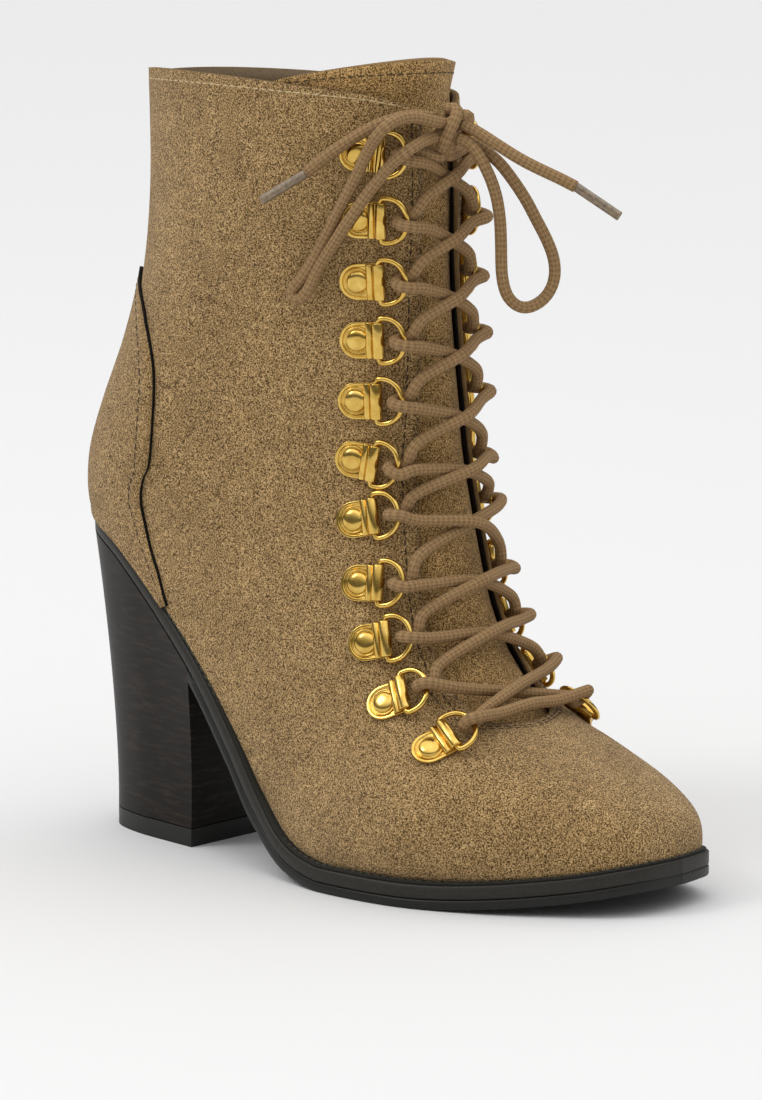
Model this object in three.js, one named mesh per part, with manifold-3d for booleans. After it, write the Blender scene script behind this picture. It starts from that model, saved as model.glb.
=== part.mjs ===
// A heeled ankle boot for the right foot, in millimetres: X forward to the toe, Y to the left, Z up.
import * as THREE from "three";
import { mergeVertices } from "three/addons/utils/BufferGeometryUtils.js";
import Module from "manifold-3d";

const wasm = await Module();
wasm.setup();

// Driving dimensions of the last
const footLength = 219; // back of the seat to the tip of the toe
const ballWidth = 89; // widest of the upper across the ball
const heelHeight = 99; // floor to the seat's back edge
const shaftHeight = 138; // seat's back edge to the collar
const wall = 2; // suede and lining together
const gap = 0.3; // clearance between pieces that touch

// Sole, heel and insole
const outsoleThickness = 3;
const midsoleThickness = 4;
const weltWidth = 3.6; // how far the sole stands out at the widest
const insoleThickness = 2.5;
const heelBreast = 58; // seat's back edge to the heel's front face
const breastRake = 4; // how far that face draws back at the lift
const heelFootLength = 48;
const heelFootWidth = 48.5;
const heelCurve = 1.5; // 1 is a straight taper, more is hollower
const liftThickness = 6;

// Facings, tongue and counter
const collarCorner = 5; // how far the collar's front corner drops
const collarBow = 4.5; // how far the collar's outer side bows up
const tongueThickness = 2.4;
const tongueClearance = 0.9; // the tongue's flat faces under the upper's curved lining
const tongueRise = 11; // how far the tongue stands above the collar
const tongueLean = 3; // how far its raised edge leans to the front
const counterThickness = 1.1;
const counterClearance = 0.55; // its flat faces over the upper's curved back

// Lacing hardware
const rivetInset = 20; // facing's edge to the rivet
const ringInset = 8.5; // facing's edge to the middle of the ring
const plateWidth = 11;
const plateLength = 14;
const plateThickness = 0.9;
const plateClearance = 0.45; // the plate's middle over the curved facing
const rivetDiameter = 6.4;
const rivetHeight = 1.5;
const foldThickness = 0.7; // the plate's end, folded round the ring's bar
const ringWidth = 15.2;
const ringDepth = 9.8;
const ringWire = 1.7;
const ringTilt = 4; // degrees off the plate
const laceDiameter = 3.5;
const tipLength = 15;
const tipDiameter = 3.6;

// Sections of the last, from the tip of the toe up to the collar.
// bottom and top are the ends of the section on the centre profile.
// x is a share of footLength, lift a share of the sole line's climb above the sole, rise a share of shaftHeight.
// topLift is a share of heelHeight.
// half is a share of half the ballWidth, feather the sole line's share of that.
// centre and ridge shift the section and its top to the left, as shares of half the ballWidth.
// widest is the height share where the section is widest, full how square it is above.
// open is half the gap between the facings, welt the share of weltWidth.
const columns = [
  "x", "lift", "rise", "topX", "topLift", "topRise",
  "half", "feather", "centre", "ridge", "widest", "full", "open", "welt",
];
const sections = [
  [1.0, 0.0826, 0.0, 1.0, 0.202, 0.0, 0.0, 0.9, 0.13, 0.0, 0.5, 2.0, 0.0, 0.62],
  [0.993, 0.0804, 0.0, 0.988, 0.22, 0.034, 0.29, 0.92, 0.13, 0.0, 0.42, 2.1, 0.0, 0.62],
  [0.975, 0.0718, 0.0, 0.962, 0.2, 0.08, 0.46, 0.92, 0.12, 0.0, 0.38, 2.2, 0.0, 0.64],
  [0.94, 0.0544, 0.0, 0.924, 0.18, 0.127, 0.62, 0.92, 0.1, 0.01, 0.34, 2.2, 0.0, 0.68],
  [0.89, 0.0349, 0.0, 0.884, 0.17, 0.161, 0.76, 0.91, 0.065, 0.03, 0.32, 2.3, 0.0, 0.76],
  [0.831, 0.0175, 0.0, 0.84, 0.15, 0.204, 0.88, 0.9, 0.01, 0.05, 0.3, 2.4, 0.0, 0.86],
  [0.767, 0.0045, 0.0, 0.797, 0.14, 0.245, 0.96, 0.89, -0.05, 0.07, 0.3, 2.4, 0.0, 0.94],
  [0.708, 0.0, 0.0, 0.767, 0.13, 0.273, 1.0, 0.89, -0.09, 0.09, 0.3, 2.4, 0.3, 1.0],
  [0.644, 0.0, 0.0, 0.747, 0.13, 0.294, 1.0, 0.89, -0.115, 0.11, 0.3, 2.4, 0.36, 1.0],
  [0.566, 0.0, 0.0, 0.724, 0.13, 0.334, 0.965, 0.89, -0.125, 0.12, 0.31, 2.3, 0.41, 1.0],
  [0.489, 0.0426, 0.0, 0.701, 0.16, 0.371, 0.895, 0.87, -0.12, 0.125, 0.32, 2.2, 0.42, 0.95],
  [0.425, 0.1606, 0.0, 0.678, 0.2, 0.415, 0.82, 0.86, -0.1, 0.12, 0.33, 2.1, 0.41, 0.85],
  [0.361, 0.3555, 0.0, 0.66, 0.27, 0.459, 0.76, 0.89, -0.085, 0.11, 0.34, 2.1, 0.38, 0.6],
  [0.283, 0.57, 0.0, 0.644, 0.36, 0.503, 0.73, 0.9, -0.055, 0.1, 0.35, 2.1, 0.345, 0.3],
  [0.192, 0.769, 0.0, 0.63, 0.45, 0.539, 0.715, 0.89, -0.015, 0.08, 0.36, 2.1, 0.31, 0.15],
  [0.11, 0.9125, 0.0, 0.623, 0.52, 0.576, 0.72, 0.8, 0.0, 0.06, 0.36, 2.1, 0.28, 0.1],
  [0.04, 0.9816, 0.0, 0.619, 0.58, 0.613, 0.73, 0.6, 0.0, 0.05, 0.36, 2.2, 0.255, 0.1],
  [0.004, 0.9968, 0.0, 0.616, 0.62, 0.657, 0.735, 0.32, 0.0, 0.04, 0.36, 2.2, 0.235, 0.1],
  [-0.007, 1.0, 0.0, 0.614, 0.66, 0.693, 0.74, 0.0, 0.0, 0.03, 0.36, 2.2, 0.22, 0.1],
  [-0.012, 1.0, 0.06, 0.613, 0.72, 0.715, 0.74, 0.0, 0.0, 0.02, 0.37, 2.15, 0.205, 0.1],
  [-0.0055, 1.0, 0.14, 0.612, 0.78, 0.745, 0.74, 0.0, 0.0, 0.01, 0.39, 2.1, 0.195, 0.1],
  [0.021, 1.0, 0.25, 0.611, 0.85, 0.774, 0.742, 0.0, 0.0, 0.0, 0.42, 2.1, 0.185, 0.1],
  [0.06, 1.0, 0.39, 0.61, 0.92, 0.811, 0.748, 0.0, 0.0, 0.0, 0.46, 2.1, 0.18, 0.1],
  [0.091, 1.0, 0.55, 0.607, 0.97, 0.862, 0.755, 0.0, 0.0, 0.0, 0.49, 2.1, 0.175, 0.1],
  [0.106, 1.0, 0.76, 0.604, 1.0, 0.92, 0.76, 0.0, 0.0, 0.0, 0.5, 2.1, 0.17, 0.1],
  [0.104, 1.0, 1.0, 0.6, 1.0, 0.978, 0.76, 0.0, 0.0, 0.0, 0.5, 2.1, 0.165, 0.1],
].map((row) => Object.fromEntries(row.map((value, i) => [columns[i], value])));
const throatRow = 7; // the throat opens above this section
const throatRound = 1.3; // sections over which its end is rounded
const seatRow = 18; // the sole line closes here, at the seat's back edge
const collarRow = sections.length - 1;

// The sole line runs this high over the floor under the ball.
const soleStack = outsoleThickness + midsoleThickness + 2 * gap;

// One column of the table between its rows, and straight on beyond the collar.
function column(name, u) {
  const at = Math.min(Math.max(Math.floor(u), 0), collarRow - 1);
  const value = (i) => sections[Math.min(Math.max(i, 0), collarRow)][name];
  if (u > collarRow) return value(collarRow) + (value(collarRow) - value(collarRow - 1)) * (u - collarRow);
  const [a, b, c, d] = [value(at - 1), value(at), value(at + 1), value(at + 2)];
  const t = u - at;
  return b + 0.5 * t * (c - a + t * (2 * a - 5 * b + 4 * c - d + t * (3 * (b - c) + d - a)));
}

// The section at u, in millimetres.
function sectionAt(u) {
  const get = (name) => column(name, u);
  const width = ballWidth / 2;
  const half = Math.max(get("half"), 0) * width;
  const feather = u >= seatRow ? 0 : Math.max(get("feather"), 0);
  const rounding = Math.min(Math.max((u - throatRow) / throatRound, 0), 1);
  const before = Math.min(Math.floor(u), collarRow - 1);
  const blend = Math.min(u - before, 1);
  const facing = sections[before].open * (1 - blend) + sections[before + 1].open * blend;
  const bottomLevel = soleStack + get("lift") * (heelHeight - soleStack) + get("rise") * shaftHeight;
  const topLevel = get("topLift") * heelHeight + get("topRise") * shaftHeight;
  return {
    bottom: new THREE.Vector3(get("x") * footLength, 0, bottomLevel),
    top: new THREE.Vector3(get("topX") * footLength, 0, topLevel),
    half,
    feather,
    centre: get("centre") * width,
    ridge: get("ridge") * width,
    widest: get("widest"),
    full: get("full"),
    open: facing * width * Math.sqrt(1 - (1 - rounding) ** 2),
    welt: get("welt") * weltWidth,
  };
}

// Half the section's width at height share v.
function halfWidth(s, v) {
  const round = 2.1;
  if (v < s.widest) {
    const power = 1 / round + (1 - 1 / round) * Math.min(s.feather / 0.8, 1);
    return s.half * (s.feather + (1 - s.feather) * (1 - (1 - v / s.widest) ** round) ** power);
  }
  const share = Math.min((v - s.widest) / (1 - s.widest), 1);
  return s.half * (1 - share ** s.full) ** (1 / s.full);
}

// The height share at which the section's upper part is as wide as the gap between the facings.
function edgeShare(s, open = s.open) {
  const share = (1 - Math.min(open / Math.max(s.half, 1e-6), 1) ** s.full) ** (1 / s.full);
  return s.widest + (1 - s.widest) * share;
}

// A point of the last's surface: side is -1 on the right, 1 on the left.
function surface(u, v, side) {
  const s = sectionAt(u);
  const point = s.bottom.clone().lerp(s.top, v);
  point.y = s.centre + s.ridge * v + side * halfWidth(s, v);
  return point;
}

const lateral = -1;
const medial = 1;
const sides = [lateral, medial];

// A sheet is a list of points and a list of triangles between them, shared points merged.
function sheetOf(triangles) {
  const geometry = new THREE.BufferGeometry().setFromPoints(triangles.flat());
  const merged = mergeVertices(geometry, 1e-3);
  const p = merged.getAttribute("position");
  const points = Array.from({ length: p.count }, (_, i) => new THREE.Vector3().fromBufferAttribute(p, i));
  const index = Array.from(merged.index.array);
  const faces = [];
  for (let i = 0; i < index.length; i += 3) {
    const [a, b, c] = index.slice(i, i + 3);
    if (a !== b && b !== c && c !== a) faces.push([a, b, c]);
  }
  return { points, faces };
}

// The triangles of a grid of points, facing the side that rows and columns turn round anticlockwise.
function gridTriangles(grid, flip = false) {
  const triangles = [];
  for (let i = 0; i + 1 < grid.length; i++)
    for (let k = 0; k + 1 < grid[i].length; k++) {
      const [a, b, c, d] = [grid[i][k], grid[i][k + 1], grid[i + 1][k + 1], grid[i + 1][k]];
      if (flip) triangles.push([a, b, c], [a, c, d]);
      else triangles.push([a, c, b], [a, d, c]);
    }
  return triangles;
}

// A closed solid between two offsets of a sheet, measured along its normals. settle can move a point of the
// inner one, given the point of the sheet that it comes from.
function thicken(sheet, inner, outer, settle = (moved) => moved) {
  const normals = sheet.points.map(() => new THREE.Vector3());
  const triangle = new THREE.Triangle();
  for (const face of sheet.faces) {
    triangle.set(...face.map((i) => sheet.points[i]));
    const normal = triangle.getNormal(new THREE.Vector3()).multiplyScalar(triangle.getArea());
    face.forEach((i) => normals[i].add(normal));
  }
  const shifted = (by) => sheet.points.map((p, i) => p.clone().addScaledVector(normals[i].normalize(), by));
  const over = shifted(outer);
  const under = shifted(inner).map((moved, i) => settle(moved, sheet.points[i]));
  const used = new Map();
  for (const [a, b, c] of sheet.faces)
    for (const [from, to] of [[a, b], [b, c], [c, a]]) used.set(`${from} ${to}`, [from, to]);
  const triangles = [];
  for (const face of sheet.faces) {
    triangles.push(face.map((i) => over[i]));
    triangles.push([...face].reverse().map((i) => under[i]));
  }
  for (const [from, to] of used.values())
    if (!used.has(`${to} ${from}`)) {
      triangles.push([over[from], under[from], over[to]]);
      triangles.push([under[from], under[to], over[to]]);
    }
  return sheetOf(triangles);
}

// A closed solid through rings of points, its ends closed by ladders across the ring.
function loft(rings) {
  const triangles = gridTriangles(rings.map((ring) => [...ring, ring[0]]), true);
  const cap = (ring, flip) => {
    const last = ring.length - 1;
    for (let i = 0; i < last - 1 - i; i++) {
      const quad = [ring[i], ring[i + 1], ring[last - 1 - i], ring[last - i]];
      const pair = [[quad[0], quad[1], quad[2]], [quad[0], quad[2], quad[3]]];
      triangles.push(...(flip ? pair.map((t) => [...t].reverse()) : pair));
    }
  };
  cap(rings[0], true);
  cap(rings.at(-1), false);
  return sheetOf(triangles);
}

function solidFrom(sheet) {
  const vertProperties = new Float32Array(sheet.points.flatMap((p) => p.toArray()));
  const triVerts = new Uint32Array(sheet.faces.flat());
  return new wasm.Manifold(new wasm.Mesh({ numProp: 3, vertProperties, triVerts }));
}

function sheetFrom(solid) {
  const { vertProperties: p, triVerts, numProp } = solid.getMesh();
  const corner = (i) => new THREE.Vector3(...p.slice(i * numProp, i * numProp + 3));
  const triangles = [];
  for (let i = 0; i < triVerts.length; i += 3) triangles.push([0, 1, 2].map((k) => corner(triVerts[i + k])));
  return sheetOf(triangles);
}

function geometryOf(sheet) {
  const flat = sheet.faces.flatMap((face) => face.map((i) => sheet.points[i]));
  const geometry = new THREE.BufferGeometry().setFromPoints(flat);
  geometry.computeVertexNormals();
  return geometry;
}

const boot = new THREE.Group();

function addPart(name, geometry, material) {
  const mesh = new THREE.Mesh(geometry, material);
  mesh.name = name;
  boot.add(mesh);
  return mesh;
}

const suede = () => new THREE.MeshStandardMaterial({ color: "#8f7450", roughness: 0.95 });
const heelStack = () => new THREE.MeshStandardMaterial({ color: "#2b2420", roughness: 0.5 });
const soleRubber = () => new THREE.MeshStandardMaterial({ color: "#2a2823", roughness: 0.6 });
const lining = () => new THREE.MeshStandardMaterial({ color: "#1f1b18", roughness: 0.8 });
const brass = () => new THREE.MeshStandardMaterial({ color: "#d3a437", roughness: 0.25, metalness: 1 });
const laceCotton = () => new THREE.MeshStandardMaterial({ color: "#8a6f4c", roughness: 0.9 });
const clearTip = () => new THREE.MeshStandardMaterial({ color: "#b9a68a", roughness: 0.3 });

// Rows of the grids: every section, with more of them round the toe and the throat's end.
const toeRows = [0, 0.35, 0.7];
const throatRows = [0.08, 0.25, 0.5, 0.8].map((step) => throatRow + step);
const sectionRows = sections.map((_, i) => i);

// The row whose lower end lies a length in front of the seat, found by halving.
function rowAtLength(length) {
  let [front, back] = [0, seatRow];
  for (let i = 0; i < 40; i++) {
    const middle = (front + back) / 2;
    if (column("x", middle) * footLength > length) front = middle;
    else back = middle;
  }
  return back;
}
const breastRow = rowAtLength(heelBreast);
const upperRows = [...new Set([...toeRows, ...sectionRows, ...throatRows, breastRow])].sort((a, b) => a - b);

// Upper: one sheet from the sole line over the top, open underneath, at the throat and at the collar.
const upperColumns = 10;
const angleShare = (k, count) => k / count;
const heightShare = (angle) => (1 - Math.cos(angle)) / 2;
const edgeAngle = (u) => Math.acos(1 - 2 * edgeShare(sectionAt(u)));

// Near the collar the facing's front corner is rounded off downwards.
function cornerRow(u, share) {
  const from = collarRow - 1;
  if (u <= from) return u;
  const drop = (collarCorner / shaftHeight) * 14 * Math.max((share - 0.78) / 0.22, 0) ** 2.4;
  return from + (u - from) * (1 - Math.min(drop, 0.8));
}

function upperGrid(rows, side, count = upperColumns) {
  return rows.map((u) =>
    Array.from({ length: count + 1 }, (_, k) => {
      const share = angleShare(k, count);
      const lowered = cornerRow(u, share);
      const point = surface(lowered, heightShare(edgeAngle(lowered) * share), side);
      const bow = Math.sin(Math.PI * share) ** 1.2 * Math.max(u - collarRow + 1, 0) ** 2;
      if (side === lateral) point.z += collarBow * bow;
      return point;
    }),
  );
}

// Sole line: the rows up to the seat's back edge, with the level and slope of the sole at each.
const soleRows = upperRows.filter((u) => u <= seatRow);
const soleProfile = soleRows.map((u, i) => {
  const { bottom } = sectionAt(u);
  const slopes = [soleRows[i - 1], soleRows[i + 1]]
    .filter((near) => near !== undefined)
    .map((near) => sectionAt(near).bottom)
    .map((near) => (near.z - bottom.z) / (near.x - bottom.x));
  const slope = slopes.reduce((a, b) => (Math.abs(a) < Math.abs(b) ? a : b));
  return { u, x: bottom.x, z: bottom.z, slope };
});

// The sole's level beside the point of the sole line that lies at x.
const levelNear = (row, x) => row.z + row.slope * (x - row.x);

// The sole line moved outwards by a margin: a pair of points for each row, and the row itself.
function soleOutline(margin) {
  const last = soleRows.length - 1;
  const chain = [
    ...soleRows.map((u) => surface(u, 0, lateral)),
    ...soleRows.slice(1, -1).reverse().map((u) => surface(u, 0, medial)),
  ];
  const moved = chain.map((point, i) => {
    const before = chain[(i + chain.length - 1) % chain.length];
    const after = chain[(i + 1) % chain.length];
    const along = after.clone().sub(before).setZ(0).normalize();
    const by = margin(soleRows[i <= last ? i : 2 * last - i]);
    return new THREE.Vector3(point.x - along.y * by, point.y + along.x * by, 0);
  });
  return soleProfile.map((row, i) => ({
    row,
    right: moved[i],
    left: i === 0 || i === last ? moved[i] : moved[2 * last - i],
  }));
}

// A slab along the sole line, between two heights above it.
function slab(outline, above, below) {
  const rings = outline.map(({ row, right, left }) => {
    const at = (point, offset) => {
      const level = levelNear(row, point.x) + offset * Math.hypot(1, row.slope);
      return new THREE.Vector3(point.x, point.y, level);
    };
    return [at(right, above), at(left, above), at(left, below), at(right, below)];
  });
  return loft(rings);
}

// The upper's lower edge is flat on the sole, so the wall's inner edge keeps to the sole's level.
function buildUpper() {
  const halves = sides.flatMap((side) => gridTriangles(upperGrid(upperRows, side), side === lateral));
  const rowAt = (point) => soleProfile.find((row) => Math.hypot(point.x - row.x, point.z - row.z) < 1e-3);
  const settle = (moved, from) => {
    const row = rowAt(from);
    return row ? moved.setZ(levelNear(row, moved.x)) : moved;
  };
  return thicken(sheetOf(halves), -wall, 0, settle);
}
addPart("upper", geometryOf(buildUpper()), suede());

const weltOutline = soleOutline((u) => sectionAt(u).welt);
const midsoleTop = -gap;
const midsoleBottom = midsoleTop - midsoleThickness;
const outsoleTop = midsoleBottom - gap;
const outsoleBottom = outsoleTop - outsoleThickness;
addPart("midsole", geometryOf(slab(weltOutline, midsoleTop, midsoleBottom)), soleRubber());

// The outsole ends just in front of the heel.
const breastIndex = soleRows.indexOf(breastRow);
const [beforeBreast, atBreast] = [weltOutline[breastIndex - 1], weltOutline[breastIndex]];
const clearOfHeel = gap / (beforeBreast.right.x - atBreast.right.x);
const outsoleEnd = {
  row: atBreast.row,
  right: atBreast.right.clone().lerp(beforeBreast.right, clearOfHeel),
  left: atBreast.left.clone().lerp(beforeBreast.left, clearOfHeel),
};
const outsoleOutline = [...weltOutline.slice(0, breastIndex), outsoleEnd];
addPart("outsole", geometryOf(slab(outsoleOutline, outsoleTop, outsoleBottom)), soleRubber());
const insoleOutline = soleOutline(() => -wall - 2 * gap).slice(1, -1);
addPart("insole", geometryOf(slab(insoleOutline, insoleThickness, 0)), lining());

// Heel: the seat's outline behind the breast, drawn in towards the lift.
const seatOutline = weltOutline.slice(breastIndex);
const heelOutline = [
  ...seatOutline.map(({ row, right }) => ({ row, point: right })),
  ...seatOutline.slice(0, -1).reverse().map(({ row, left }) => ({ row, point: left })),
];
const breastX = atBreast.right.x;
const seatBox = new THREE.Box3().setFromPoints(heelOutline.map(({ point }) => point));
const seatSize = seatBox.getSize(new THREE.Vector3());
const seatMiddle = (seatBox.min.y + seatBox.max.y) / 2;

// The heel's outline at a share of its height, from the lift up to the sole.
function heelRing(share) {
  const spread = share ** heelCurve;
  const long = spread + (1 - spread) * (heelFootLength / seatSize.x);
  const wide = spread + (1 - spread) * (heelFootWidth / seatSize.y);
  return heelOutline.map(({ row, point }) => {
    const level = levelNear(row, point.x) + outsoleTop * Math.hypot(1, row.slope);
    const x = breastX - (breastX - point.x) * long - breastRake * (1 - share);
    const y = seatMiddle + (point.y - seatMiddle) * wide;
    return new THREE.Vector3(x, y, liftThickness + (level - liftThickness) * share);
  });
}
addPart("heel", geometryOf(loft([1, 0.7, 0.45, 0.22, 0].map(heelRing))), heelStack());
const liftOutline = heelRing(0);
const liftRings = [liftThickness - gap, 0].map((level) => liftOutline.map((point) => point.clone().setZ(level)));
addPart("heel_lift", geometryOf(loft(liftRings)), soleRubber());

// Tongue: a wide strip under the facings, from below the throat's end to above the collar.
const tongueRows = [throatRow - 0.6, ...upperRows.filter((u) => u >= throatRow && u % 1 === 0)];
const tongueWidth = { foot: 0.6, top: 0.984 }; // shares of the section's half width
const tongueColumns = 4;

// How much of the tongue's rise its top edge has, from the right edge at 0 to the left edge at 1.
const tongueCrown = (across) => 0.2 + 0.8 * Math.sin(Math.PI * Math.min(across * 1.15, 1)) ** 0.7;

function tongueGrid(side) {
  const strip = (u, lift) => {
    const s = sectionAt(u);
    const up = Math.max(u - throatRow, 0) / (collarRow - throatRow);
    const start = edgeShare(s, s.half * (tongueWidth.foot + (tongueWidth.top - tongueWidth.foot) * up));
    const from = Math.acos(1 - 2 * start);
    return Array.from({ length: tongueColumns + 1 }, (_, k) => {
      const share = k / tongueColumns;
      const point = surface(u, heightShare(from + (Math.PI - from) * share), side);
      const raised = lift * tongueCrown(side === lateral ? share / 2 : 1 - share / 2);
      point.z += raised * tongueRise;
      point.x += raised * tongueLean;
      return point;
    });
  };
  return [...tongueRows.map((u) => strip(u, 0)), strip(collarRow, 0.5), strip(collarRow, 1)];
}

function buildTongue() {
  const halves = sides.flatMap((side) => gridTriangles(tongueGrid(side), side === lateral));
  const outer = -wall - tongueClearance;
  return thicken(sheetOf(halves), outer - tongueThickness, outer);
}
addPart("tongue", geometryOf(buildTongue()), suede());

// Counter: an overlay round the back of the heel, its seam at these height shares of the sections.
const counterSeam = { 13: 0.0, 14: 0.03, 15: 0.15, 16: 0.24, 17: 0.305, 18: 0.335, 19: 0.35, 20: 0.352, 21: 0.335, 22: 0.235, 23: 0.06 };
const counterRows = [13.8, 14, 14.5, 15, 16, 17, 18, 19, 20, 21, 21.5, 22, 22.5, 23];
const counterColumns = 5;

function counterGrid(side) {
  return counterRows.map((u) => {
    const before = Math.floor(u);
    const after = Math.min(before + 1, counterRows.at(-1));
    const seam = counterSeam[before] + (counterSeam[after] - counterSeam[before]) * (u - before);
    const angle = Math.acos(1 - 2 * seam);
    return Array.from({ length: counterColumns + 1 }, (_, k) => {
      return surface(u, heightShare((angle * k) / counterColumns), side);
    });
  });
}

function buildCounter() {
  const halves = sides.flatMap((side) => gridTriangles(counterGrid(side), side === lateral));
  return thicken(sheetOf(halves), counterClearance, counterClearance + counterThickness);
}
addPart("counter", geometryOf(buildCounter()), suede());

// Lacing hardware: a riveted plate and a ring at each place down both facings.
// ring and rivet say which section each lies on, from the lowest pair up.
const hooks = [
  { ring: 7.6, rivet: 8.25 },
  { ring: 10.05, rivet: 10.45 },
  { ring: 11.5, rivet: 11.8 },
  { ring: 12.5, rivet: 12.8 },
  { ring: 13.75, rivet: 13.9 },
  { ring: 14.85, rivet: 15.25 },
  { ring: 16.6, rivet: 16.95 },
  { ring: 18.65, rivet: 19.05 },
  { ring: 20.4, rivet: 20.7 },
  { ring: 21.9, rivet: 22.15 },
  { ring: 23.45, rivet: 23.65 },
];

// The point of the section at u that lies a length in from the facing's edge, and its angle.
function inFromEdge(u, length, side) {
  const steps = 60;
  const start = edgeAngle(u);
  let before = surface(u, heightShare(start), side);
  let walked = 0;
  for (let k = 1; k <= steps; k++) {
    const angle = start * (1 - k / steps);
    const point = surface(u, heightShare(angle), side);
    const step = point.distanceTo(before);
    if (walked + step >= length) return { point: before.lerp(point, (length - walked) / step), angle };
    walked += step;
    before = point;
  }
  throw new Error("the hardware lies beyond the sole line");
}

// The direction out of the surface at a section and an angle.
function outward(u, angle, side) {
  const step = 0.05;
  const at = (du, da) => surface(u + du, heightShare(angle + da), side);
  const up = at(step, 0).sub(at(-step, 0));
  const across = at(0, step).sub(at(0, -step));
  return up.cross(across).multiplyScalar(side).normalize();
}

// The plate lies along x from its round end to the fold round the ring's bar, its middle at the origin.
const foldInner = ringWire / 2 + gap;
const foldOuter = foldInner + foldThickness;
const foldLength = plateWidth - 1;
const barX = plateLength / 2 - foldOuter;
const rivetX = plateWidth / 2 - plateLength / 2;
const plateInset = rivetInset + rivetX;

function hookFrame({ ring, rivet }, side) {
  const toRing = inFromEdge(ring, ringInset, side).point;
  const share = -rivetX / (rivetInset - ringInset);
  const u = rivet + (ring - rivet) * share;
  const { point, angle } = inFromEdge(u, plateInset, side);
  const normal = outward(u, angle, side);
  const along = toRing.sub(inFromEdge(rivet, rivetInset, side).point);
  along.addScaledVector(normal, -along.dot(normal)).normalize();
  const origin = point.addScaledVector(normal, plateClearance);
  return new THREE.Matrix4().makeBasis(along, normal.clone().cross(along), normal).setPosition(origin);
}

// A tube of even thickness through points. A closed one takes the direction out of its plane.
function tube(points, diameter, count, outOfPlane) {
  const closed = outOfPlane !== undefined;
  const last = points.length - 1;
  const near = (i) => points[closed ? (i + points.length) % points.length : Math.min(Math.max(i, 0), last)];
  let side = outOfPlane;
  const rings = points.map((point, i) => {
    const along = near(i + 1).clone().sub(near(i - 1)).normalize();
    side = (side ?? new THREE.Vector3(along.y, -along.x, 0)).clone();
    side.addScaledVector(along, -side.dot(along)).normalize();
    const other = along.clone().cross(side);
    return Array.from({ length: count }, (_, k) => {
      const turn = (2 * Math.PI * (k + 0.5)) / count;
      const outwards = side.clone().multiplyScalar(Math.cos(turn)).addScaledVector(other, Math.sin(turn));
      return point.clone().addScaledVector(outwards, diameter / 2);
    });
  });
  if (!closed) return loft(rings);
  return sheetOf(gridTriangles([...rings, rings[0]].map((ring) => [...ring, ring[0]]), true));
}

// A closed geometry's faces as a sheet.
function sheetFromGeometry(geometry) {
  const flat = geometry.index ? geometry.toNonIndexed() : geometry;
  const p = flat.getAttribute("position");
  const corner = (i) => new THREE.Vector3().fromBufferAttribute(p, i);
  const triangles = [];
  for (let i = 0; i < p.count; i += 3) triangles.push([corner(i), corner(i + 1), corner(i + 2)]);
  return sheetOf(triangles);
}

// One plate with its rivet and fold, joined into one solid.
function buildPlate() {
  const half = plateWidth / 2;
  const plateEnd = barX - (foldInner + foldOuter) * 0.3;
  const outline = new THREE.Shape();
  outline.moveTo(plateEnd, -half);
  outline.lineTo(rivetX, -half);
  outline.absarc(rivetX, 0, half, 1.5 * Math.PI, 0.5 * Math.PI, true);
  outline.lineTo(plateEnd, half);
  const plate = new THREE.ExtrudeGeometry(outline, { depth: plateThickness, bevelEnabled: false, curveSegments: 5 });
  const radius = rivetDiameter / 2;
  const dome = new THREE.LatheGeometry(
    [
      new THREE.Vector2(0, plateThickness / 2),
      new THREE.Vector2(radius, plateThickness / 2),
      new THREE.Vector2(radius * 0.7, plateThickness + rivetHeight),
      new THREE.Vector2(0, plateThickness + rivetHeight),
    ],
    7,
  );
  dome.rotateX(Math.PI / 2).translate(rivetX, 0, 0);
  const circle = new THREE.Shape().absarc(0, 0, foldOuter, 0, 2 * Math.PI, false);
  circle.holes.push(new THREE.Path().absarc(0, 0, foldInner, 0, 2 * Math.PI, true));
  const fold = new THREE.ExtrudeGeometry(circle, { depth: foldLength, bevelEnabled: false, curveSegments: 7 });
  fold.rotateX(Math.PI / 2).translate(barX, foldLength / 2, foldOuter);
  const solids = [plate, dome, fold].map((geometry) => solidFrom(sheetFromGeometry(geometry)));
  return sheetFrom(solids.reduce((joined, next) => joined.add(next)));
}

// The ring: a straight bar in the fold and an arc towards the throat.
const arcSteps = 7;
const barCorner = 1.2;
const ringHalf = (ringWidth - ringWire) / 2;
const arcReach = ringDepth - ringWire;

function ringPoints() {
  const arc = Array.from({ length: arcSteps + 1 }, (_, k) => {
    const turn = (Math.PI * k) / arcSteps;
    const reach = barCorner + (arcReach - barCorner) * Math.sin(turn) ** 0.8;
    return new THREE.Vector3(reach, -ringHalf * Math.cos(turn), 0);
  });
  const straight = ringHalf - barCorner;
  return [new THREE.Vector3(0, -straight, 0), ...arc, new THREE.Vector3(0, straight, 0)];
}

const ringPlace = new THREE.Matrix4()
  .makeTranslation(barX, 0, foldOuter)
  .multiply(new THREE.Matrix4().makeRotationY(-THREE.MathUtils.degToRad(ringTilt)));
const plateGeometry = geometryOf(buildPlate());
const ringGeometry = geometryOf(tube(ringPoints(), ringWire, 6, new THREE.Vector3(0, 0, 1)));
ringGeometry.applyMatrix4(ringPlace);
const sideNames = { [lateral]: "outer", [medial]: "inner" };
const frames = {};
for (const side of sides) {
  frames[side] = hooks.map((hook) => hookFrame(hook, side));
  frames[side].forEach((frame, i) => {
    for (const [name, geometry] of [["plate", plateGeometry], ["ring", ringGeometry]]) {
      addPart(`${name}_${sideNames[side]}_${i + 1}`, geometry, brass()).applyMatrix4(frame);
    }
  });
}

// The boot without its lace stands centred over the origin.
const bare = new THREE.Box3().setFromObject(boot).getCenter(new THREE.Vector3());

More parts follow.
